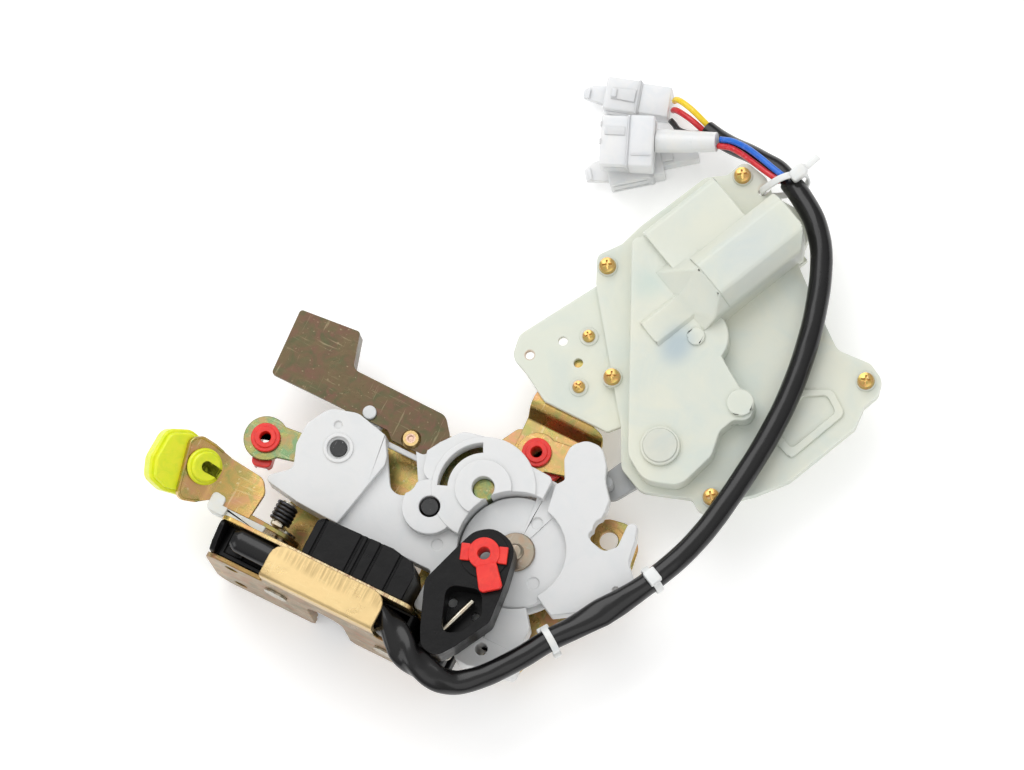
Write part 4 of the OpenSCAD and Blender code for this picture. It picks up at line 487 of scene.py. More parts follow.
class Workshop:
    """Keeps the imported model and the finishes, and puts dressed pieces on their bodies."""

    def __init__(self, frame: dict) -> None:
        """Builds the materials and reads which slot each node has.
        """
        self.nodes: dict[str, bpy.types.Object] = frame["nodes"]
        self.slots: dict[str, str] = {p["node"]: p["material_slot"] for p in frame["record"]["subparts"]}
        patterns = Patterns()
        self.finishes: dict[str, bpy.types.Material] = {f.slot: f.material(patterns) for f in FINISHES}

    def finish_nodes(self) -> None:
        """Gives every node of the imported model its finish."""
        for name, node in self.nodes.items():
            for slot in node.material_slots:
                slot.material = self.finishes[self.slots[name]]

    def finish_of(self, slot: str, nodes: Sequence[str]) -> bpy.types.Material:
        """Gives a piece's finish.

        Args:
            slot: the record's material slot.
            nodes: the nodes that the piece stands for.

        Returns:
            The slot's finish, or the darker copy with painted shade that the first node takes.
        """
        return self.finishes[SHADED_COPIES.get(nodes[0], slot) if nodes else slot]

    def dress(self, piece: bpy.types.Object, slot: str, body: str, nodes: Sequence[str] = ()) -> bpy.types.Object:
        """Puts a piece on a body with its finish.

        Args:
            piece: the finished piece.
            slot: the record's material slot.
            body: the body that carries it.
            nodes: the nodes that it stands for.

        Returns:
            The piece.
        """
        if not piece.data.materials:
            piece.data.materials.append(self.finish_of(slot, nodes))
        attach(piece, body)
        if nodes:
            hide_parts(*nodes)
        LOG.info("%s rides on %s", piece.name, body)
        return piece

    def body_of(self, node: str) -> str:
        """Names the body that carries a node."""
        return self.nodes[node]["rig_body"]

    def soften(self, node: str, width: float, floor: float = NO_FLOOR, angle: float = 32.0) -> bpy.types.Object:
        """Stands a copy with rounded edges in for a node.

        Args:
            node: the node's name.
            width: the rounding, in millimetres.
            floor: the height, in millimetres, below which edges stay as they are.
            angle: the least bend of an edge that is rounded, in degrees.

        Returns:
            The dressed copy.
        """
        mesh = self.nodes[node].data.copy()
        mesh.name = f"{node}_dressed"
        mesh.materials.clear()
        if "custom_normal" in mesh.attributes:
            mesh.attributes.remove(mesh.attributes["custom_normal"])
        work = bmesh.new()
        work.from_mesh(mesh)
        bmesh.ops.remove_doubles(work, verts=work.verts, dist=SAME_CORNER)
        if floor == NO_FLOOR:
            bmesh.ops.dissolve_limit(work, angle_limit=math.radians(FLAT_ANGLE), verts=work.verts, edges=work.edges)
        weight = work.edges.layers.float.new("bevel_weight_edge")
        for edge in work.edges:
            sharp = edge.is_manifold and edge.is_convex and edge.calc_face_angle() > math.radians(angle)
            clear = min(v.co.z for v in edge.verts) > floor * MM and edge.calc_length() > width * MM * 0.6
            edge[weight] = 1.0 if sharp and clear else 0.0
        work.to_mesh(mesh)
        work.free()
        piece = linked(f"{node}_dressed", mesh)
        shade(mesh, SHARP_ANGLE)
        bits = [self._drill(piece, across, up, radius) for across, up, radius in SPARE_HOLES.get(node, [])]
        bevel = piece.modifiers.new("Rounding", "BEVEL")
        bevel.width, bevel.segments = width * MM, 2
        bevel.limit_method = "WEIGHT"
        bevel.use_clamp_overlap = False
        bevel.miter_outer = "MITER_ARC"
        even = piece.modifiers.new("Even shading", "WEIGHTED_NORMAL")
        even.keep_sharp = True
        rounded = apply_modifiers(piece)
        for bit in bits:
            bpy.data.objects.remove(bit, do_unlink=True)
        return self.dress(rounded, self.slots[node], self.body_of(node), [node])

    @staticmethod
    def _drill(piece: bpy.types.Object, across: float, up: float, radius: float) -> bpy.types.Object:
        """Lets a round hole into a piece, along its height.

        Args:
            piece: the piece that gets the hole.
            across: the hole's place along X, in millimetres.
            up: the hole's place along Y, in millimetres.
            radius: the hole's radius, in millimetres.

        Returns:
            The bit, which has to stay until the piece's modifiers are applied.
        """
        work = bmesh.new()
        bmesh.ops.create_cone(work, cap_ends=True, segments=40, radius1=radius * MM, radius2=radius * MM,
                              depth=DRILL_LENGTH * MM)
        bmesh.ops.translate(work, vec=Vector((across * MM, up * MM, 0.0)), verts=work.verts)
        mesh = bpy.data.meshes.new("spare_hole")
        work.to_mesh(mesh)
        work.free()
        bit = linked("spare_hole", mesh)
        cut = piece.modifiers.new("Spare hole", "BOOLEAN")
        cut.operation, cut.solver, cut.object = "DIFFERENCE", "EXACT", bit
        return bit

    def grow(self, name: str, tree: bpy.types.NodeTree, sizes: dict[str, object], points: Sequence[Point],
             slot: str, body: str, nodes: Sequence[str] = (), smooth: float = 35.0) -> bpy.types.Object:
        """Grows a piece from points with Geometry Nodes.

        Args:
            name: the piece's name.
            tree: the node tree that makes it.
            sizes: the tree's named inputs.
            points: where it grows, in millimetres.
            slot: the record's material slot.
            body: the body that carries it.
            nodes: the nodes that it stands for.
            smooth: the least bend of an edge that stays sharp, in degrees.

        Returns:
            The dressed piece.
        """
        mesh = bpy.data.meshes.new(name)
        mesh.from_pydata([[c * MM for c in p] for p in points], [], [])
        piece = linked(name, mesh)
        growth = piece.modifiers.new("Growth", "NODES")
        growth.node_group = tree
        sockets = {item.name: item.identifier for item in tree.interface.items_tree
                   if item.item_type == "SOCKET" and item.in_out == "INPUT"}
        for label, value in {**sizes, "Finish": self.finishes[slot]}.items():
            growth[sockets[label]] = value
        apply_modifiers(piece)
        shade(piece.data, smooth)
        return self.dress(piece, slot, body, nodes)


def apply_modifiers(piece: bpy.types.Object) -> bpy.types.Object:
    """Turns a piece and its modifiers into a plain mesh."""
    bpy.context.view_layer.update()
    graph = bpy.context.evaluated_depsgraph_get()
    made = bpy.data.meshes.new_from_object(piece.evaluated_get(graph), depsgraph=graph)
    made.name = piece.name
    piece.modifiers.clear()
    piece.data = made
    return piece


def linked(name: str, data: bpy.types.ID) -> bpy.types.Object:
    """Puts a new object with the data into the scene."""
    made = bpy.data.objects.new(name, data)
    bpy.context.scene.collection.objects.link(made)
    return made


def shade(mesh: bpy.types.Mesh, smooth: float) -> None:
    """Shades a mesh smooth, apart from edges that bend more than an angle in degrees."""
    mesh.shade_smooth()
    mesh.set_sharp_from_angle(angle=math.radians(smooth))


def new_piece(name: str, points: Sequence[Vector], faces: Sequence[Sequence[int]], smooth: float = 180.0
              ) -> bpy.types.Object:
    """Makes a piece from points and faces.

    Args:
        name: the piece's name.
        points: its corners, in metres.
        faces: the corners of each face.
        smooth: the least bend of an edge that stays sharp, in degrees.

    Returns:
        The new piece.
    """
    mesh = bpy.data.meshes.new(name)
    mesh.from_pydata([tuple(p) for p in points], [], [tuple(f) for f in faces])
    work = bmesh.new()
    work.from_mesh(mesh)
    bmesh.ops.recalc_face_normals(work, faces=work.faces)
    work.to_mesh(mesh)
    work.free()
    shade(mesh, smooth)
    return linked(name, mesh)


class Growths:
    """The Geometry Nodes trees for what repeats or follows a rule."""

    def __init__(self) -> None:
        """Builds each tree once."""
        self.screws = self._screws()
        self.coil = self._coil()
        self.discs = self._discs()

    @staticmethod
    def _begin(name: str, inputs: Sequence[tuple[str, str, object]]
               ) -> tuple[bpy.types.NodeTree, Tree, bpy.types.Node]:
        """Makes an empty tree with named inputs for its sizes and its finish."""
        group = bpy.data.node_groups.new(name, "GeometryNodeTree")
        group.interface.new_socket("Geometry", in_out="INPUT", socket_type="NodeSocketGeometry")
        for label, kind, value in inputs:
            group.interface.new_socket(label, in_out="INPUT", socket_type=kind).default_value = value
        group.interface.new_socket("Finish", in_out="INPUT", socket_type="NodeSocketMaterial")
        group.interface.new_socket("Geometry", in_out="OUTPUT", socket_type="NodeSocketGeometry")
        tree = Tree(group)
        return group, tree, tree.add("NodeGroupInput")

    @staticmethod
    def _end(tree: Tree, given: bpy.types.Node, shape: bpy.types.NodeSocket) -> None:
        """Ends a tree in Realize Instances and Set Material."""
        real = tree.add("GeometryNodeRealizeInstances", {"Geometry": shape})
        faced = tree.add("GeometryNodeSetMaterial", {"Geometry": real.outputs[0], "Material": given.outputs["Finish"]})
        tree.add("NodeGroupOutput", {"Geometry": faced.outputs[0]})

    def _screws(self) -> bpy.types.NodeTree:
        """Pan-head screws with a cross recess, each turned its own way."""
        group, tree, given = self._begin("cross_recess_screws", [
            ("Head Radius", FLOAT, 0.003), ("Head Height", FLOAT, 0.0022), ("Recess Length", FLOAT, 0.0034),
            ("Recess Width", FLOAT, 0.0007), ("Recess Depth", FLOAT, 0.0014), ("Shank Radius", FLOAT, 0.0014),
            ("Shank Length", FLOAT, 0.006), ("Seed", "NodeSocketInt", 7)])
        size, maths = given.outputs, tree.maths
        rim, wall = maths("MULTIPLY", size["Head Radius"], 0.86), maths("MULTIPLY", size["Head Height"], 0.74)
        dome = maths("SUBTRACT", size["Head Height"], wall)
        cone = tree.add("GeometryNodeMeshCone", {"Vertices": 32, "Side Segments": 2, "Fill Segments": 5,
                                                 "Radius Top": rim, "Radius Bottom": size["Head Radius"],
                                                 "Depth": wall})
        place = tree.add("ShaderNodeSeparateXYZ", {0: tree.add("GeometryNodeInputPosition").outputs[0]})
        across = maths("ADD", maths("MULTIPLY", place.outputs["X"], place.outputs["X"]),
                       maths("MULTIPLY", place.outputs["Y"], place.outputs["Y"]))
        share = maths("SUBTRACT", 1.0, maths("DIVIDE", across, maths("MULTIPLY", rim, rim)))
        lift = tree.add("ShaderNodeCombineXYZ", {"Z": maths("MULTIPLY", share, dome)})
        top = tree.add("FunctionNodeCompare", {0: place.outputs["Z"], 1: maths("MULTIPLY", wall, 0.9)},
                       operation="GREATER_THAN")
        domed = tree.add("GeometryNodeSetPosition", {"Geometry": cone.outputs["Mesh"], "Selection": top.outputs[0],
                                                     "Offset": lift.outputs[0]})
        middle = tree.add("ShaderNodeCombineXYZ", {"Z": size["Head Height"]})
        deep = maths("MULTIPLY", size["Recess Depth"], 2.0)
        cutters = []
        for x, y in ((size["Recess Length"], size["Recess Width"]), (size["Recess Width"], size["Recess Length"])):
            arm = tree.add("GeometryNodeMeshCube", {"Size": tree.add("ShaderNodeCombineXYZ", {"X": x, "Y": y, "Z": deep}
                                                                     ).outputs[0]})
            cutters.append(tree.add("GeometryNodeTransform", {"Geometry": arm.outputs["Mesh"],
                                                              "Translation": middle.outputs[0]}).outputs[0])
        core = maths("MULTIPLY", size["Recess Length"], 0.28)
        hub = tree.add("GeometryNodeMeshCylinder", {"Vertices": 4, "Radius": core, "Depth": deep})
        cutters.append(tree.add("GeometryNodeTransform", {"Geometry": hub.outputs["Mesh"],
                                                          "Translation": middle.outputs[0]}).outputs[0])
        cut = tree.add("GeometryNodeMeshBoolean", {"Mesh 1": domed.outputs[0]}, operation="DIFFERENCE", solver="EXACT")
        for cutter in cutters:
            group.links.new(cutter, cut.inputs["Mesh 2"])
        shank = tree.add("GeometryNodeMeshCylinder", {"Vertices": 16, "Radius": size["Shank Radius"],
                                                      "Depth": size["Shank Length"]})
        down = tree.add("ShaderNodeCombineXYZ", {"Z": maths("MULTIPLY", size["Shank Length"], -0.499)})
        lowered = tree.add("GeometryNodeTransform", {"Geometry": shank.outputs["Mesh"], "Translation": down.outputs[0]})
        whole = tree.add("GeometryNodeJoinGeometry")
        group.links.new(cut.outputs["Mesh"], whole.inputs[0])
        group.links.new(lowered.outputs[0], whole.inputs[0])
        turn = tree.add("FunctionNodeRandomValue", {"Seed": size["Seed"]}, data_type="FLOAT_VECTOR")
        turn.inputs[0].default_value, turn.inputs[1].default_value = (0, 0, 0), (0, 0, math.pi)
        spun = tree.add("FunctionNodeEulerToRotation", {0: turn.outputs[0]})
        laid = tree.add("GeometryNodeInstanceOnPoints", {"Points": size["Geometry"], "Instance": whole.outputs[0],
                                                         "Rotation": spun.outputs[0]})
        self._end(tree, given, laid.outputs[0])
        return group

    def _coil(self) -> bpy.types.NodeTree:
        """A coil spring of round wire, wound along Y."""
        group, tree, given = self._begin("coil_spring", [
            ("Coil Radius", FLOAT, 0.0034), ("Wire Radius", FLOAT, 0.0007), ("Length", FLOAT, 0.0066),
            ("Turns", FLOAT, 4.6)])
        size = given.outputs
        spiral = tree.add("GeometryNodeCurveSpiral", {"Resolution": 40, "Rotations": size["Turns"],
                                                      "Start Radius": size["Coil Radius"],
                                                      "End Radius": size["Coil Radius"], "Height": size["Length"]})
        lying = tree.add("GeometryNodeTransform", {"Geometry": spiral.outputs[0], "Rotation": (-math.pi / 2, 0, 0)})
        wire = tree.add("GeometryNodeCurvePrimitiveCircle", {"Resolution": 12, "Radius": size["Wire Radius"]})
        swept = tree.add("GeometryNodeCurveToMesh", {"Curve": lying.outputs[0], "Profile Curve": wire.outputs[0],
                                                     "Fill Caps": True})
        laid = tree.add("GeometryNodeInstanceOnPoints", {"Points": size["Geometry"], "Instance": swept.outputs[0]})
        self._end(tree, given, laid.outputs[0])
        return group

    def _discs(self) -> bpy.types.NodeTree:
        """Low round caps, a little narrower at the top."""
        group, tree, given = self._begin("low_discs", [("Radius", FLOAT, 0.002), ("Height", FLOAT, 0.0002)])
        size = given.outputs
        disc = tree.add("GeometryNodeMeshCone", {
            "Vertices": 40, "Radius Top": tree.maths("MULTIPLY", size["Radius"], 0.93),
            "Radius Bottom": size["Radius"], "Depth": size["Height"]})
        laid = tree.add("GeometryNodeInstanceOnPoints", {"Points": size["Geometry"], "Instance": disc.outputs["Mesh"]})
        self._end(tree, given, laid.outputs[0])
        return group


# A prism's edges that bend more than this, in radians, are rounded
BENT = 0.35


class Blocks:
    """Gathers rounded prisms, in a frame of their own, into one piece."""

    def __init__(self, corner: Point = (0, 0, 0), turn: float = 0.0) -> None:
        """Sets the frame.

        Args:
            corner: the frame's origin, in millimetres.
            turn: the frame's turn about Z, in degrees.
        """
        self.frame = Matrix.Translation(Vector(corner) * MM) @ Matrix.Rotation(math.radians(turn), 4, "Z")
        self.work = bmesh.new()

    def prism(self, outline: Sequence[tuple[float, float]], low: float, high: float, rounding: float = 0.3,
              mouth: float = 0.0, wall: float = 1.2) -> None:
        """Adds an upright prism.

        Args:
            outline: its corners, in millimetres.
            low: its lower height.
            high: its upper height.
            rounding: the rounding of its edges.
            mouth: the depth of the hollow in the face that looks along +X, or 0.
            wall: the wall round the hollow.
        """
        part = bmesh.new()
        face = part.faces.new([part.verts.new((x * MM, y * MM, low * MM)) for x, y in outline])
        grown = bmesh.ops.extrude_face_region(part, geom=[face])["geom"]
        bmesh.ops.translate(part, verts=[v for v in grown if isinstance(v, bmesh.types.BMVert)],
                            vec=(0, 0, (high - low) * MM))
        bmesh.ops.recalc_face_normals(part, faces=part.faces)
        if mouth:
            end = max(part.faces, key=lambda f: f.normal.x * 1000 + f.calc_center_median().x)
            bmesh.ops.inset_individual(part, faces=[end], thickness=wall * MM)
            inner = bmesh.ops.extrude_discrete_faces(part, faces=[end])["faces"][0]
            bmesh.ops.translate(part, verts=inner.verts, vec=(-mouth * MM, 0, 0))
        edges = [e for e in part.edges if e.calc_face_angle(0.0) > BENT]
        bmesh.ops.bevel(part, geom=edges, offset=rounding * MM, offset_type="OFFSET", segments=3, profile=0.5,
                        affect="EDGES", clamp_overlap=True)
        part.transform(self.frame)
        held = bpy.data.meshes.new("held")
        part.to_mesh(held)
        part.free()
        self.work.from_mesh(held)
        bpy.data.meshes.remove(held)

    def piece(self, name: str) -> bpy.types.Object:
        """Turns the prisms into one piece."""
        mesh = bpy.data.meshes.new(name)
        self.work.to_mesh(mesh)
        self.work.free()
        shade(mesh, 38)
        return linked(name, mesh)


def box(x0: float, x1: float, half: float, middle: float = 0.0) -> list[tuple[float, float]]:
    """Gives the corners of a rectangle between two X values, half as wide on each side of its middle."""
    return [(x0, middle - half), (x1, middle - half), (x1, middle + half), (x0, middle + half)]


# A short way along a route, in stops
NUDGE = 0.03


@dataclass
class Route:
    """A smooth line through points given in millimetres."""

    points: Sequence[Point]

    def at(self, stop: float) -> Vector:
        """Gives the point at a stop.

        Args:
            stop: the number of a point, with its fraction on the way to the next.

        Returns:
            The point, in metres.
        """
        last = len(self.points) - 1
        i = min(int(stop), last - 1)
        t = stop - i
        b, c = Vector(self.points[i]), Vector(self.points[i + 1])
        a = Vector(self.points[i - 1]) if i else b * 2 - c
        d = Vector(self.points[i + 2]) if i + 2 <= last else c * 2 - b
        bend, swing = 2 * a - 5 * b + 4 * c - d, 3 * b - a - 3 * c + d
        return MM * 0.5 * (2 * b + (c - a) * t + bend * t ** 2 + swing * t ** 3)

    def along(self, stop: float) -> Vector:
        """Gives the line's direction at a stop."""
        last = len(self.points) - 1
        return (self.at(min(stop + NUDGE, last)) - self.at(max(stop - NUDGE, 0))).normalized()

    def sampled(self, step: float) -> tuple[list[Vector], list[float]]:
        """Samples the line.

        Args:
            step: the distance between samples, in millimetres.

        Returns:
            The samples, in metres, and the stop of each.
        """
        stops = []
        for i in range(len(self.points) - 1):
            count = max(2, round((Vector(self.points[i + 1]) - Vector(self.points[i])).length / step))
            stops += [i + k / count for k in range(count)]
        stops.append(float(len(self.points) - 1))
        return [self.at(s) for s in stops], stops

    def length(self) -> float:
        """Measures the line, in metres."""
        line = self.sampled(0.5)[0]
        return sum((b - a).length for a, b in zip(line, line[1:]))


def flat_frame(along: Vector) -> tuple[Vector, Vector]:
    """Gives the level side vector and the upward vector across a line's direction."""
    side = along.cross(Vector((0, 0, 1))).normalized()
    return side, side.cross(along).normalized()


@dataclass
class Tube:
    """A closed tube along a route, whose section may change on the way."""

    route: Route
    section: Callable[[float, float], tuple[float, float]]
    step: float = 1.0
    around: int = 28
    mouth: float = 0.0
    width_axis: Vector | None = None

    def piece(self, name: str) -> bpy.types.Object:
        """Builds the tube.

        Args:
            name: the piece's name.

        Returns:
            The new piece.
        """
        line, stops = self.route.sampled(self.step)
        rings = [(place, stop, self.route.along(stop), 1.0) for place, stop in zip(line, stops)]
        if self.mouth:
            place, stop, along, _ = rings[-1]
            rings += [(place, stop, along, 0.8), (place - along * self.mouth * MM, stop, along, 0.78)]
        points, faces, n = [], [], self.around
        for place, stop, along, share in rings:
            side, up = flat_frame(along)
            if self.width_axis is not None:
                side, up = self.width_axis, self.width_axis.cross(along).normalized()
            for k in range(n):
                x, y = self.section(stop, 2 * math.pi * k / n)
                points.append(place + side * x * MM * share + up * y * MM * share)
        for i in range(len(rings) - 1):
            for k in range(n):
                a, b = i * n + k, i * n + (k + 1) % n
                faces.append((a, b, b + n, a + n))
        faces += [tuple(range(n)), tuple(range(len(points) - n, len(points)))]
        return new_piece(name, points, faces, 50)


def round_section(radius: float) -> Callable[[float, float], tuple[float, float]]:
    """Gives a plain round section of a radius in millimetres."""
    return lambda stop, turn: (radius * math.cos(turn), radius * math.sin(turn))


def band_section(width: float, thick: float) -> Callable[[float, float], tuple[float, float]]:
    """Gives a flat section with rounded corners, of a width and thickness in millimetres."""
    def section(stop: float, turn: float) -> tuple[float, float]:
        """Gives one point of the section."""
        c, v = math.cos(turn), math.sin(turn)
        return (math.copysign(abs(c) ** 0.4, c) * width / 2, math.copysign(abs(v) ** 0.4, v) * thick / 2)
    return section


# Name, place, size and power of each lamp, in metres and watts
LAMPS: tuple[tuple[str, Point, float, float], ...] = (
    ("key", (-0.75, 0.9, 1.35), 1.5, 15.0), ("fill", (1.1, -0.6, 1.3), 1.6, 6.0), ("low", (-0.9, -0.8, 0.6), 0.7, 2.5))


@dataclass
class Studio:
    """The camera, the floor and the lights.

    Lengths are in millimetres and angles in degrees, but the floor's reach and gap, the lamps' aim and the
    camera's clipping are in metres.
    """

    target: Point = (20.185, 103.174, 0.0)
    strip: float = 26.0
    tilt: float = 15.0
    distance: float = 2500.0
    view_width: float = 358.4
    floor: float = -25.0
    sensor: float = 36.0
    clipping: tuple[float, float] = (0.1, 20.0)
    lamp_aim: Point = (0.03, 0.1, 0.0)
    floor_reach: float = 3.0
    floor_gap: float = 0.0002
    floor_glow: float = 0.22
    lean: tuple[float, float] = (0.4, -0.9165)
    room_heights: tuple[float, float] = (0.1, 0.95)
    room_strengths: tuple[float, float] = (0.36, 0.82)

    def build(self) -> None:
        """Places the camera at the photograph's viewing angle, and the light round it."""
        turn, tilt = math.radians(self.strip), math.radians(self.tilt)
        right = Vector((math.cos(turn), math.sin(turn), 0))
        up = Vector((-math.sin(turn), math.cos(turn), 0))
        lean = (self.lean[0] * right + self.lean[1] * up).normalized()
        back = lean * math.sin(tilt) + Vector((0, 0, math.cos(tilt)))
        across = (right - right.dot(back) * back).normalized()
        rise = back.cross(across)
        camera = bpy.data.cameras.new("camera")
        camera.sensor_width = self.sensor
        camera.lens = self.sensor * self.distance / self.view_width
        camera.clip_start, camera.clip_end = self.clipping
        holder = linked("camera", camera)
        holder.matrix_world = Matrix.Translation((Vector(self.target) + back * self.distance) * MM) @ Matrix(
            (across, rise, back)).transposed().to_4x4()
        bpy.context.scene.camera = holder
        self._floor()
        for name, place, size, power in LAMPS:
            self._lamp(name, Vector(place), size, power)
        world = bpy.data.worlds.new("room")
        world.use_nodes = True
        world.node_tree.nodes["Background"].inputs["Color"].default_value = (1.0, 1.0, 1.0, 1.0)
        tree = Tree(world.node_tree)
        sky = tree.add("ShaderNodeTexCoord").outputs["Generated"]
        height = tree.add("ShaderNodeSeparateXYZ", {0: sky}).outputs["Z"]
        world.node_tree.links.new(tree.ramp(height, *self.room_heights, *self.room_strengths),
                                  world.node_tree.nodes["Background"].inputs["Strength"])
        bpy.context.scene.world = world
        bpy.context.scene.view_settings.view_transform = "Standard"

    def _floor(self) -> None:
        """Lays the pale floor under the part."""
        z, s = self.floor * MM - self.floor_gap, self.floor_reach
        floor = new_piece("floor", [Vector((-s, -s, z)), Vector((s, -s, z)), Vector((s, s, z)), Vector((-s, s, z))],
                          [(0, 1, 2, 3)])
        paint = bpy.data.materials.new("floor_paint")
        paint.use_nodes = True
        shader = paint.node_tree.nodes["Principled BSDF"]
        shader.inputs["Base Color"].default_value = (0.97, 0.97, 0.97, 1)
        shader.inputs["Roughness"].default_value = 0.9
        shader.inputs["Emission Color"].default_value = (1, 1, 1, 1)
        shader.inputs["Emission Strength"].default_value = self.floor_glow
        floor.data.materials.append(paint)

    def _lamp(self, name: str, place: Vector, size: float, power: float) -> None:
        """Hangs one soft lamp that points at the part."""
        lamp = bpy.data.lights.new(name, "AREA")
        lamp.size, lamp.energy = size, power
        aim = (place - Vector(self.lamp_aim)).to_track_quat("Z", "Y")
        linked(name, lamp).matrix_world = Matrix.Translation(place) @ aim.to_matrix().to_4x4()


@dataclass
class Plug:
    """A moulded connector housing, built from its wires' end towards its mating end."""

    corner: Point
    turn: float
    length: float
    half: float
    height: float = 10.4

    def tongued(self, name: str, step: float, neck: float = 0.0) -> bpy.types.Object:
        """Builds a stepped housing with a tongue.

        Args:
            name: the piece's name.
            step: where the housing steps up to its full size.
            neck: the length of the narrow part behind it.

        Returns:
            The new piece.
        """
        made, h, w, end = Blocks(self.corner, self.turn), self.height, self.half, self.length
        if neck:
            made.prism(box(0, neck + 1, w * 0.46), 1.2, h - 2.2, 0.7)
            made.prism(box(neck - 4, neck + 1, w * 0.3), h - 2.6, h - 1.2, 0.3)
        made.prism(box(neck, step + 0.8, w - 0.5), 0.3, h - 0.7, 0.5)
        made.prism(box(step, end, w), 0, h, 0.7)
        made.prism(box(step + 0.6, step + 1.5, w + 0.25), 0.8, h + 0.25, 0.2)
        made.prism([(end - 1, -w * 0.62), (end + 5, -w * 0.5), (end + 8, -w * 0.2), (end + 8, w * 0.34),
                    (end - 1, w * 0.62)], h * 0.28, h * 0.58, 0.4)
        made.prism(box(end + 5.6, end + 6.8, w * 0.3, w * 0.06), h * 0.56, h * 0.7, 0.15)
        for side in (-1, 1):
            made.prism(box(step + 2.4, end - 1.2, 0.22, side * w), 2.0, 3.1, 0.15)
            made.prism(box(step + 2.4, end - 1.2, 0.22, side * w), h - 3.4, h - 2.3, 0.15)
        made.prism([(step + 1.8, -2.3), (end - 2.4, -2.0), (end - 2.4, 2.0), (step + 1.8, 2.3)], h - 0.3, h + 0.75, 0.3)
        made.prism(box(end - 4.4, end - 2.6, 1.6), h + 0.5, h + 1.5, 0.25)
        return made.piece(name)

    def mouthed(self, name: str, collar: float) -> bpy.types.Object:
        """Builds a wide housing with a hollow mouth and a collar round its wires' end.

        Args:
            name: the piece's name.
            collar: the collar's length.

        Returns:
            The new piece.
        """
        made, h, w, end = Blocks(self.corner, self.turn), self.height, self.half, self.length
        made.prism(box(collar - 1, end, w - 0.45), 0.4, h - 0.5, 0.6, mouth=8.5, wall=1.3)
        made.prism(box(0, collar, w), 0, h, 0.9)
        made.prism(box(collar - 0.1, collar + 0.7, w - 0.2), 0.2, h - 0.2, 0.25)
        for offset in (-w * 0.62, w * 0.05):
            made.prism(box(end - 0.5, end + 0.45, 0.9, offset), h - 3.2, h - 0.6, 0.2)
        made.prism(box(collar + 1.4, end - 1.4, 1.5, -w * 0.35), h - 0.7, h + 0.1, 0.25)
        made.prism(box(0.8, collar - 1.2, 0.35, w * 0.55), h - 0.2, h + 0.25, 0.15)
        for side in (-1, 1):
            made.prism(box(collar + 1.2, end - 1.4, 0.3, side * (w - 0.45)), 3.2, 6.6, 0.2)
        return made.piece(name)


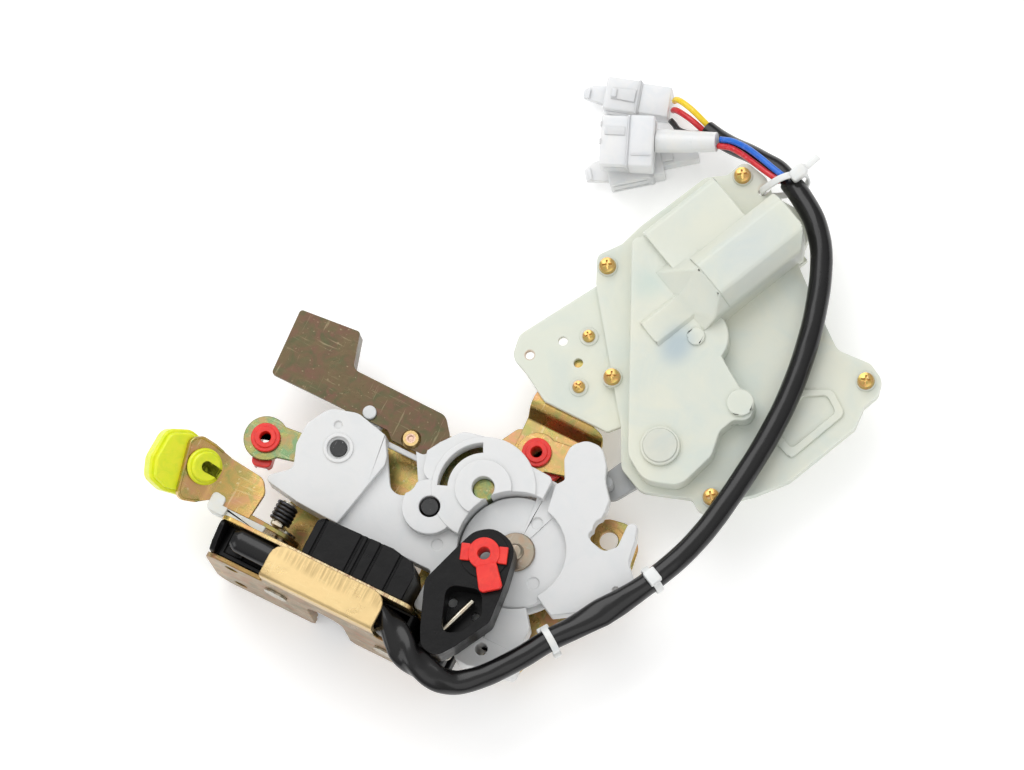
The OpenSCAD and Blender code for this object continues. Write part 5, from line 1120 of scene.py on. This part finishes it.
@dataclass
class Harness:
    """The sleeve with its wires, ends and ties, in millimetres.

    The places and reaches of the sleeve's folds, of its pressed part and of its clamped end are in stops.
    """

    shop: Workshop
    sleeve_radius: float = 4.0
    tail_radius: float = 3.3
    wire_radius: float = 1.1
    boot_radius: float = 3.7
    band: float = 2.5
    band_thick: float = 1.1
    folds_at: float = 6.5
    folds_reach: float = 4.5
    pressed_at: float = 16.2
    pressed_reach: float = 2.0
    clamp_reach: float = 4.0

    def sleeve_section(self, stop: float, turn: float) -> tuple[float, float]:
        """Gives the sleeve's section: folded beside the latch, flattened between the lower ties."""
        folds = max(0.0, 1.0 - abs(stop - self.folds_at) / self.folds_reach)
        pressed = max(0.0, 1.0 - abs(stop - self.pressed_at) / self.pressed_reach)
        clamped = max(0.0, 1.0 - stop / self.clamp_reach)
        wide = self.sleeve_radius * (1.0 + 0.3 * folds + 0.16 * pressed + 0.12 * clamped)
        high = self.sleeve_radius * (0.98 - 0.12 * folds - 0.1 * pressed - 0.08 * clamped)
        twist = turn + 0.9 * (stop - self.folds_at) * (1.0 if folds else 0.0)
        press = 0.1 * pressed * math.cos(2 * turn + 1.3 * (stop - self.pressed_at))
        uneven = 0.02 * noise.noise(Vector((2 * math.cos(turn), 2 * math.sin(turn), 1.7 * stop)))
        ripple = 1.0 + 0.15 * folds * math.cos(3 * twist) + press + uneven
        end = min(1.0, 0.72 + stop * 3.0)
        return wide * ripple * end * math.cos(turn), high * ripple * end * math.sin(turn)

    def build_cords(self) -> None:
        """Builds the tail and the wires with the plugs that they carry."""
        shop = self.shop
        tail_route = Route(TAIL_ROUTE)
        tail = shop.dress(Tube(tail_route, round_section(self.tail_radius), mouth=2.5).piece("tail_sleeve"),
                          "sleeve_vinyl", "lock_body", ["harness_tail"])
        red_low = self._wire("red_wire_low", TAIL_RED_ROUTE, "wire_red", ["wires_red"])
        yellow = self._wire("yellow_wire", YELLOW_ROUTE, "wire_yellow", ["wire_yellow"])
        black = self._wire("black_wire", BLACK_ROUTE, "wire_black", ["wire_black"])
        tail_plug = shop.dress(Plug((20, 222.3, -25), 197, 23.4, 6.0).tongued("tail_plug", 10.5), "plug_nylon",
                               "lock_body", ["plug_tail"])
        low_plug = shop.dress(Plug((36.5, 211.5, -25), 218, 33, 7.3).tongued("low_plug", 17.0, 13), "plug_nylon",
                              "lock_body", ["plug_lower"])
        tail_route.length()
        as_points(tail_route.sampled(1.0)[0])
        blue_route = Route(BLUE_ROUTE)
        blue = self._wire("blue_wire", BLUE_ROUTE, "wire_blue", ["wires_blue"])
        red_high = self._wire("red_wire_high", UPPER_RED_ROUTE, "wire_red", ["wires_red"])
        boot = shop.dress(Tube(Route(BOOT_ROUTE), self.boot_section, 0.6, mouth=2.0).piece("plug_boot"), "boot_vinyl",
                          "lock_body", ["harness_boot"])
        wire_plug = shop.dress(Plug((24, 204.3, -13), 203.5, 19, 9.5).mouthed("wire_plug", 9.0), "plug_nylon",
                               "lock_body", ["plug_wires"])
        blue_route.length()
        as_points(blue_route.sampled(1.0)[0])

    def boot_section(self, stop: float, turn: float) -> tuple[float, float]:
        """Gives the boot's flattened section, wider at the plug, with the wires' ridges."""
        share = stop / (len(BOOT_ROUTE) - 1)
        wide, high = self.boot_radius * (0.94 + 0.22 * share), self.boot_radius * (0.9 - 0.04 * share)
        ridge = 1.0 + 0.03 * math.cos(4 * turn + 0.5)
        return wide * ridge * math.cos(turn), high * ridge * math.sin(turn)

    def _wire(self, name: str, points: Sequence[Point], slot: str, nodes: Sequence[str]) -> bpy.types.Object:
        """Builds one wire."""
        tube = Tube(Route(points), round_section(self.wire_radius), 0.8, 16)
        return self.shop.dress(tube.piece(name), slot, "lock_body", nodes)

    def build_sleeve(self) -> None:
        """Builds the sleeve and its ties."""
        tube = Tube(Route(SLEEVE_ROUTE), self.sleeve_section, 0.8, 40, mouth=2.0)
        self.shop.dress(tube.piece("sleeve"), "sleeve_vinyl", "lock_body", ["harness_sleeve"])
        self._tie("tie_lower", 14.0, self.band, [(5.0, -3.4, 2.0, 2.2, 3.0), (-4.2, -3.4, 3.6, 3.6, 4.4)])
        self._tie("tie_middle", 18.5, 2.8, [(0.4, 5.9, 5.4, 3.4, 4.4), (2.6, 5.6, 1.6, 2.0, 2.6)])
        self._upper_tie()

    def _tie(self, name: str, stop: float, width: float, blocks: Sequence[tuple[float, float, float, float, float]]
             ) -> None:
        """Builds a tie round the sleeve.

        Args:
            name: the piece's and the node's name.
            stop: the place along the sleeve.
            width: the band's width.
            blocks: across, up, breadth, height and length of each part of its head, in millimetres.
        """
        route = Route(SLEEVE_ROUTE)
        centre, along = route.at(stop), route.along(stop)
        side, up = flat_frame(along)
        reach = self.sleeve_radius + 0.1 + self.band_thick / 2
        ring = [centre / MM + reach * (side * math.cos(a) + up * math.sin(a))
                for a in (math.radians(d) for d in range(0, 372, 12))]
        band = Tube(Route([tuple(p) for p in ring]), band_section(width, self.band_thick), 0.8, 16,
                    width_axis=along).piece(f"{name}_band")
        made = Blocks()
        made.frame = Matrix.Translation(centre) @ Matrix((side, up, along)).transposed().to_4x4()
        for across, high, breadth, height, length in blocks:
            made.prism([(across - breadth / 2, high - height / 2), (across + breadth / 2, high - height / 2),
                        (across + breadth / 2, high + height / 2), (across - breadth / 2, high + height / 2)],
                       -length / 2, length / 2, 0.45)
        self._join(name, [band, made.piece(f"{name}_head")])

    def _upper_tie(self) -> None:
        """Builds the tie that holds the sleeve's end to the actuator's tab, with its head and free strap."""
        loop: list[Point] = [(67.4, 204.2, -2.2), (67.2, 203.8, 0.8), (69.4, 206.2, 4.6), (72.6, 209.6, 8.0),
                             (76.0, 212.9, 7.6), (78.6, 215.2, 4.4), (80.2, 214.6, 0.4), (79.0, 211.6, -3.6),
                             (74.0, 207.6, -6.2), (69.0, 205.0, -6.3), (67.4, 204.2, -2.2)]
        strap: list[Point] = [(76.6, 213.4, 7.2), (78.2, 216.4, 7.4), (79.6, 219.6, 7.4), (80.6, 222.4, 7.2)]
        axis = Vector((0.73, -0.68, 0)).normalized()
        band = Tube(Route(loop), band_section(2.4, 1.0), 0.8, 16, width_axis=axis).piece("tie_upper_band")
        free = Tube(Route(strap), band_section(2.4, 1.2), 0.8, 16).piece("tie_upper_strap")
        head = Blocks((77.0, 214.0, 5.2), 66)
        head.prism([(-3.2, -2.0), (1.6, -2.5), (3.4, -1.5), (3.4, 1.5), (1.6, 2.5), (-3.2, 2.0)], 0, 3.8, 0.8)
        self._join("tie_upper", [band, free, head.piece("tie_upper_head")])

    def _join(self, name: str, parts: Sequence[bpy.types.Object]) -> None:
        """Joins the parts of a tie into one dressed piece."""
        work = bmesh.new()
        for part in parts:
            work.from_mesh(part.data)
            mesh = part.data
            bpy.data.objects.remove(part)
            bpy.data.meshes.remove(mesh)
        mesh = bpy.data.meshes.new(f"{name}_piece")
        work.to_mesh(mesh)
        work.free()
        shade(mesh, 40)
        self.shop.dress(linked(f"{name}_piece", mesh), "tie_nylon", "lock_body", [name])


class Rounding(Enum):
    """How far the edges of a kind of piece are rounded, in millimetres."""

    FINE = 0.12
    SHEET = 0.28
    MOULDED = 0.4
    FULL = 0.7


# Heights, in millimetres, below which a node's edges stay as they are
FLOORS: dict[str, float] = {"actuator_lid": 0.3}

SOFTENED: dict[str, Rounding] = {
    "face_plate": Rounding.SHEET, "latch_case": Rounding.MOULDED, "back_plate": Rounding.SHEET,
    "claw": Rounding.MOULDED, "pawl": Rounding.SHEET, "claw_pin": Rounding.FINE, "pawl_pin": Rounding.FINE,
    "spring_box": Rounding.MOULDED,
    "outside_pivot": Rounding.FINE, "outside_lever": Rounding.SHEET, "release_link": Rounding.SHEET,
    "outside_clip": Rounding.FULL, "inside_lever": Rounding.SHEET, "inside_clip": Rounding.SHEET,
    "guard_rivet": Rounding.FINE, "lever_cover": Rounding.SHEET,
    "inside_pin": Rounding.FINE, "stop_pin": Rounding.FINE, "lock_link": Rounding.SHEET, "lock_lever": Rounding.MOULDED,
    "lock_pivot": Rounding.FINE, "knob_lever": Rounding.SHEET, "knob_clip": Rounding.SHEET, "key_lever": Rounding.FINE,
    "key_clip": Rounding.SHEET, "actuator_bracket": Rounding.SHEET, "actuator_base": Rounding.MOULDED,
    "actuator_lid": Rounding.MOULDED, "output_arm": Rounding.SHEET,
}


@dataclass
class Lock:
    """The whole part, built in order."""

    shop: Workshop
    lid_screws: tuple[Point, ...] = (
        (30.8, 156, 0.8), (50.6, 121, 0.8), (58.6, 206, 0.8), (131, 158.6, 0.8), (101.4, 98, 0.8))
    mount_screws: tuple[Point, ...] = ((36, 131, -1.9), (41.2, 113.2, -1.9))
    hub: Point = (78.5, 105, 9.6)
    coil_start: Point = (-29.5, 22.95, 4.5)

    def build(self) -> None:
        """Builds the pieces, the cords first."""
        harness = Harness(self.shop)
        harness.build_cords()
        harness.build_sleeve()
        for node, rounding in SOFTENED.items():
            self.shop.soften(node, rounding.value, FLOORS.get(node, NO_FLOOR))
        growths = Growths()
        self.shop.grow("lid_screw_set", growths.screws, {"Head Radius": 0.0031, "Head Height": 0.0023, "Seed": 4},
                       self.lid_screws, "screw_steel", "lock_body", ["lid_screws"])
        self.shop.grow("mount_screw_set", growths.screws, {
            "Head Radius": 0.0023, "Head Height": 0.0016, "Recess Length": 0.0027, "Recess Depth": 0.0011, "Seed": 9},
            self.mount_screws, "screw_steel", "lock_body", ["mount_screws"])
        self.shop.grow("hub_cap", growths.discs, {"Radius": 0.0062, "Height": 0.0005}, [self.hub],
                       "milky_polypropylene", "lock_body")
        self.shop.grow("return_coil", growths.coil, {}, [self.coil_start], "spring_steel", "lock_body",
                       ["return_spring"], 60.0)


def main() -> None:
    """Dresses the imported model."""
    logging.basicConfig(level=logging.INFO, format="%(name)s: %(message)s")
    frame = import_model()
    Studio().build()
    shop = Workshop(frame)
    shop.finish_nodes()
    Lock(shop).build()


if __name__ == "__main__":
    main()
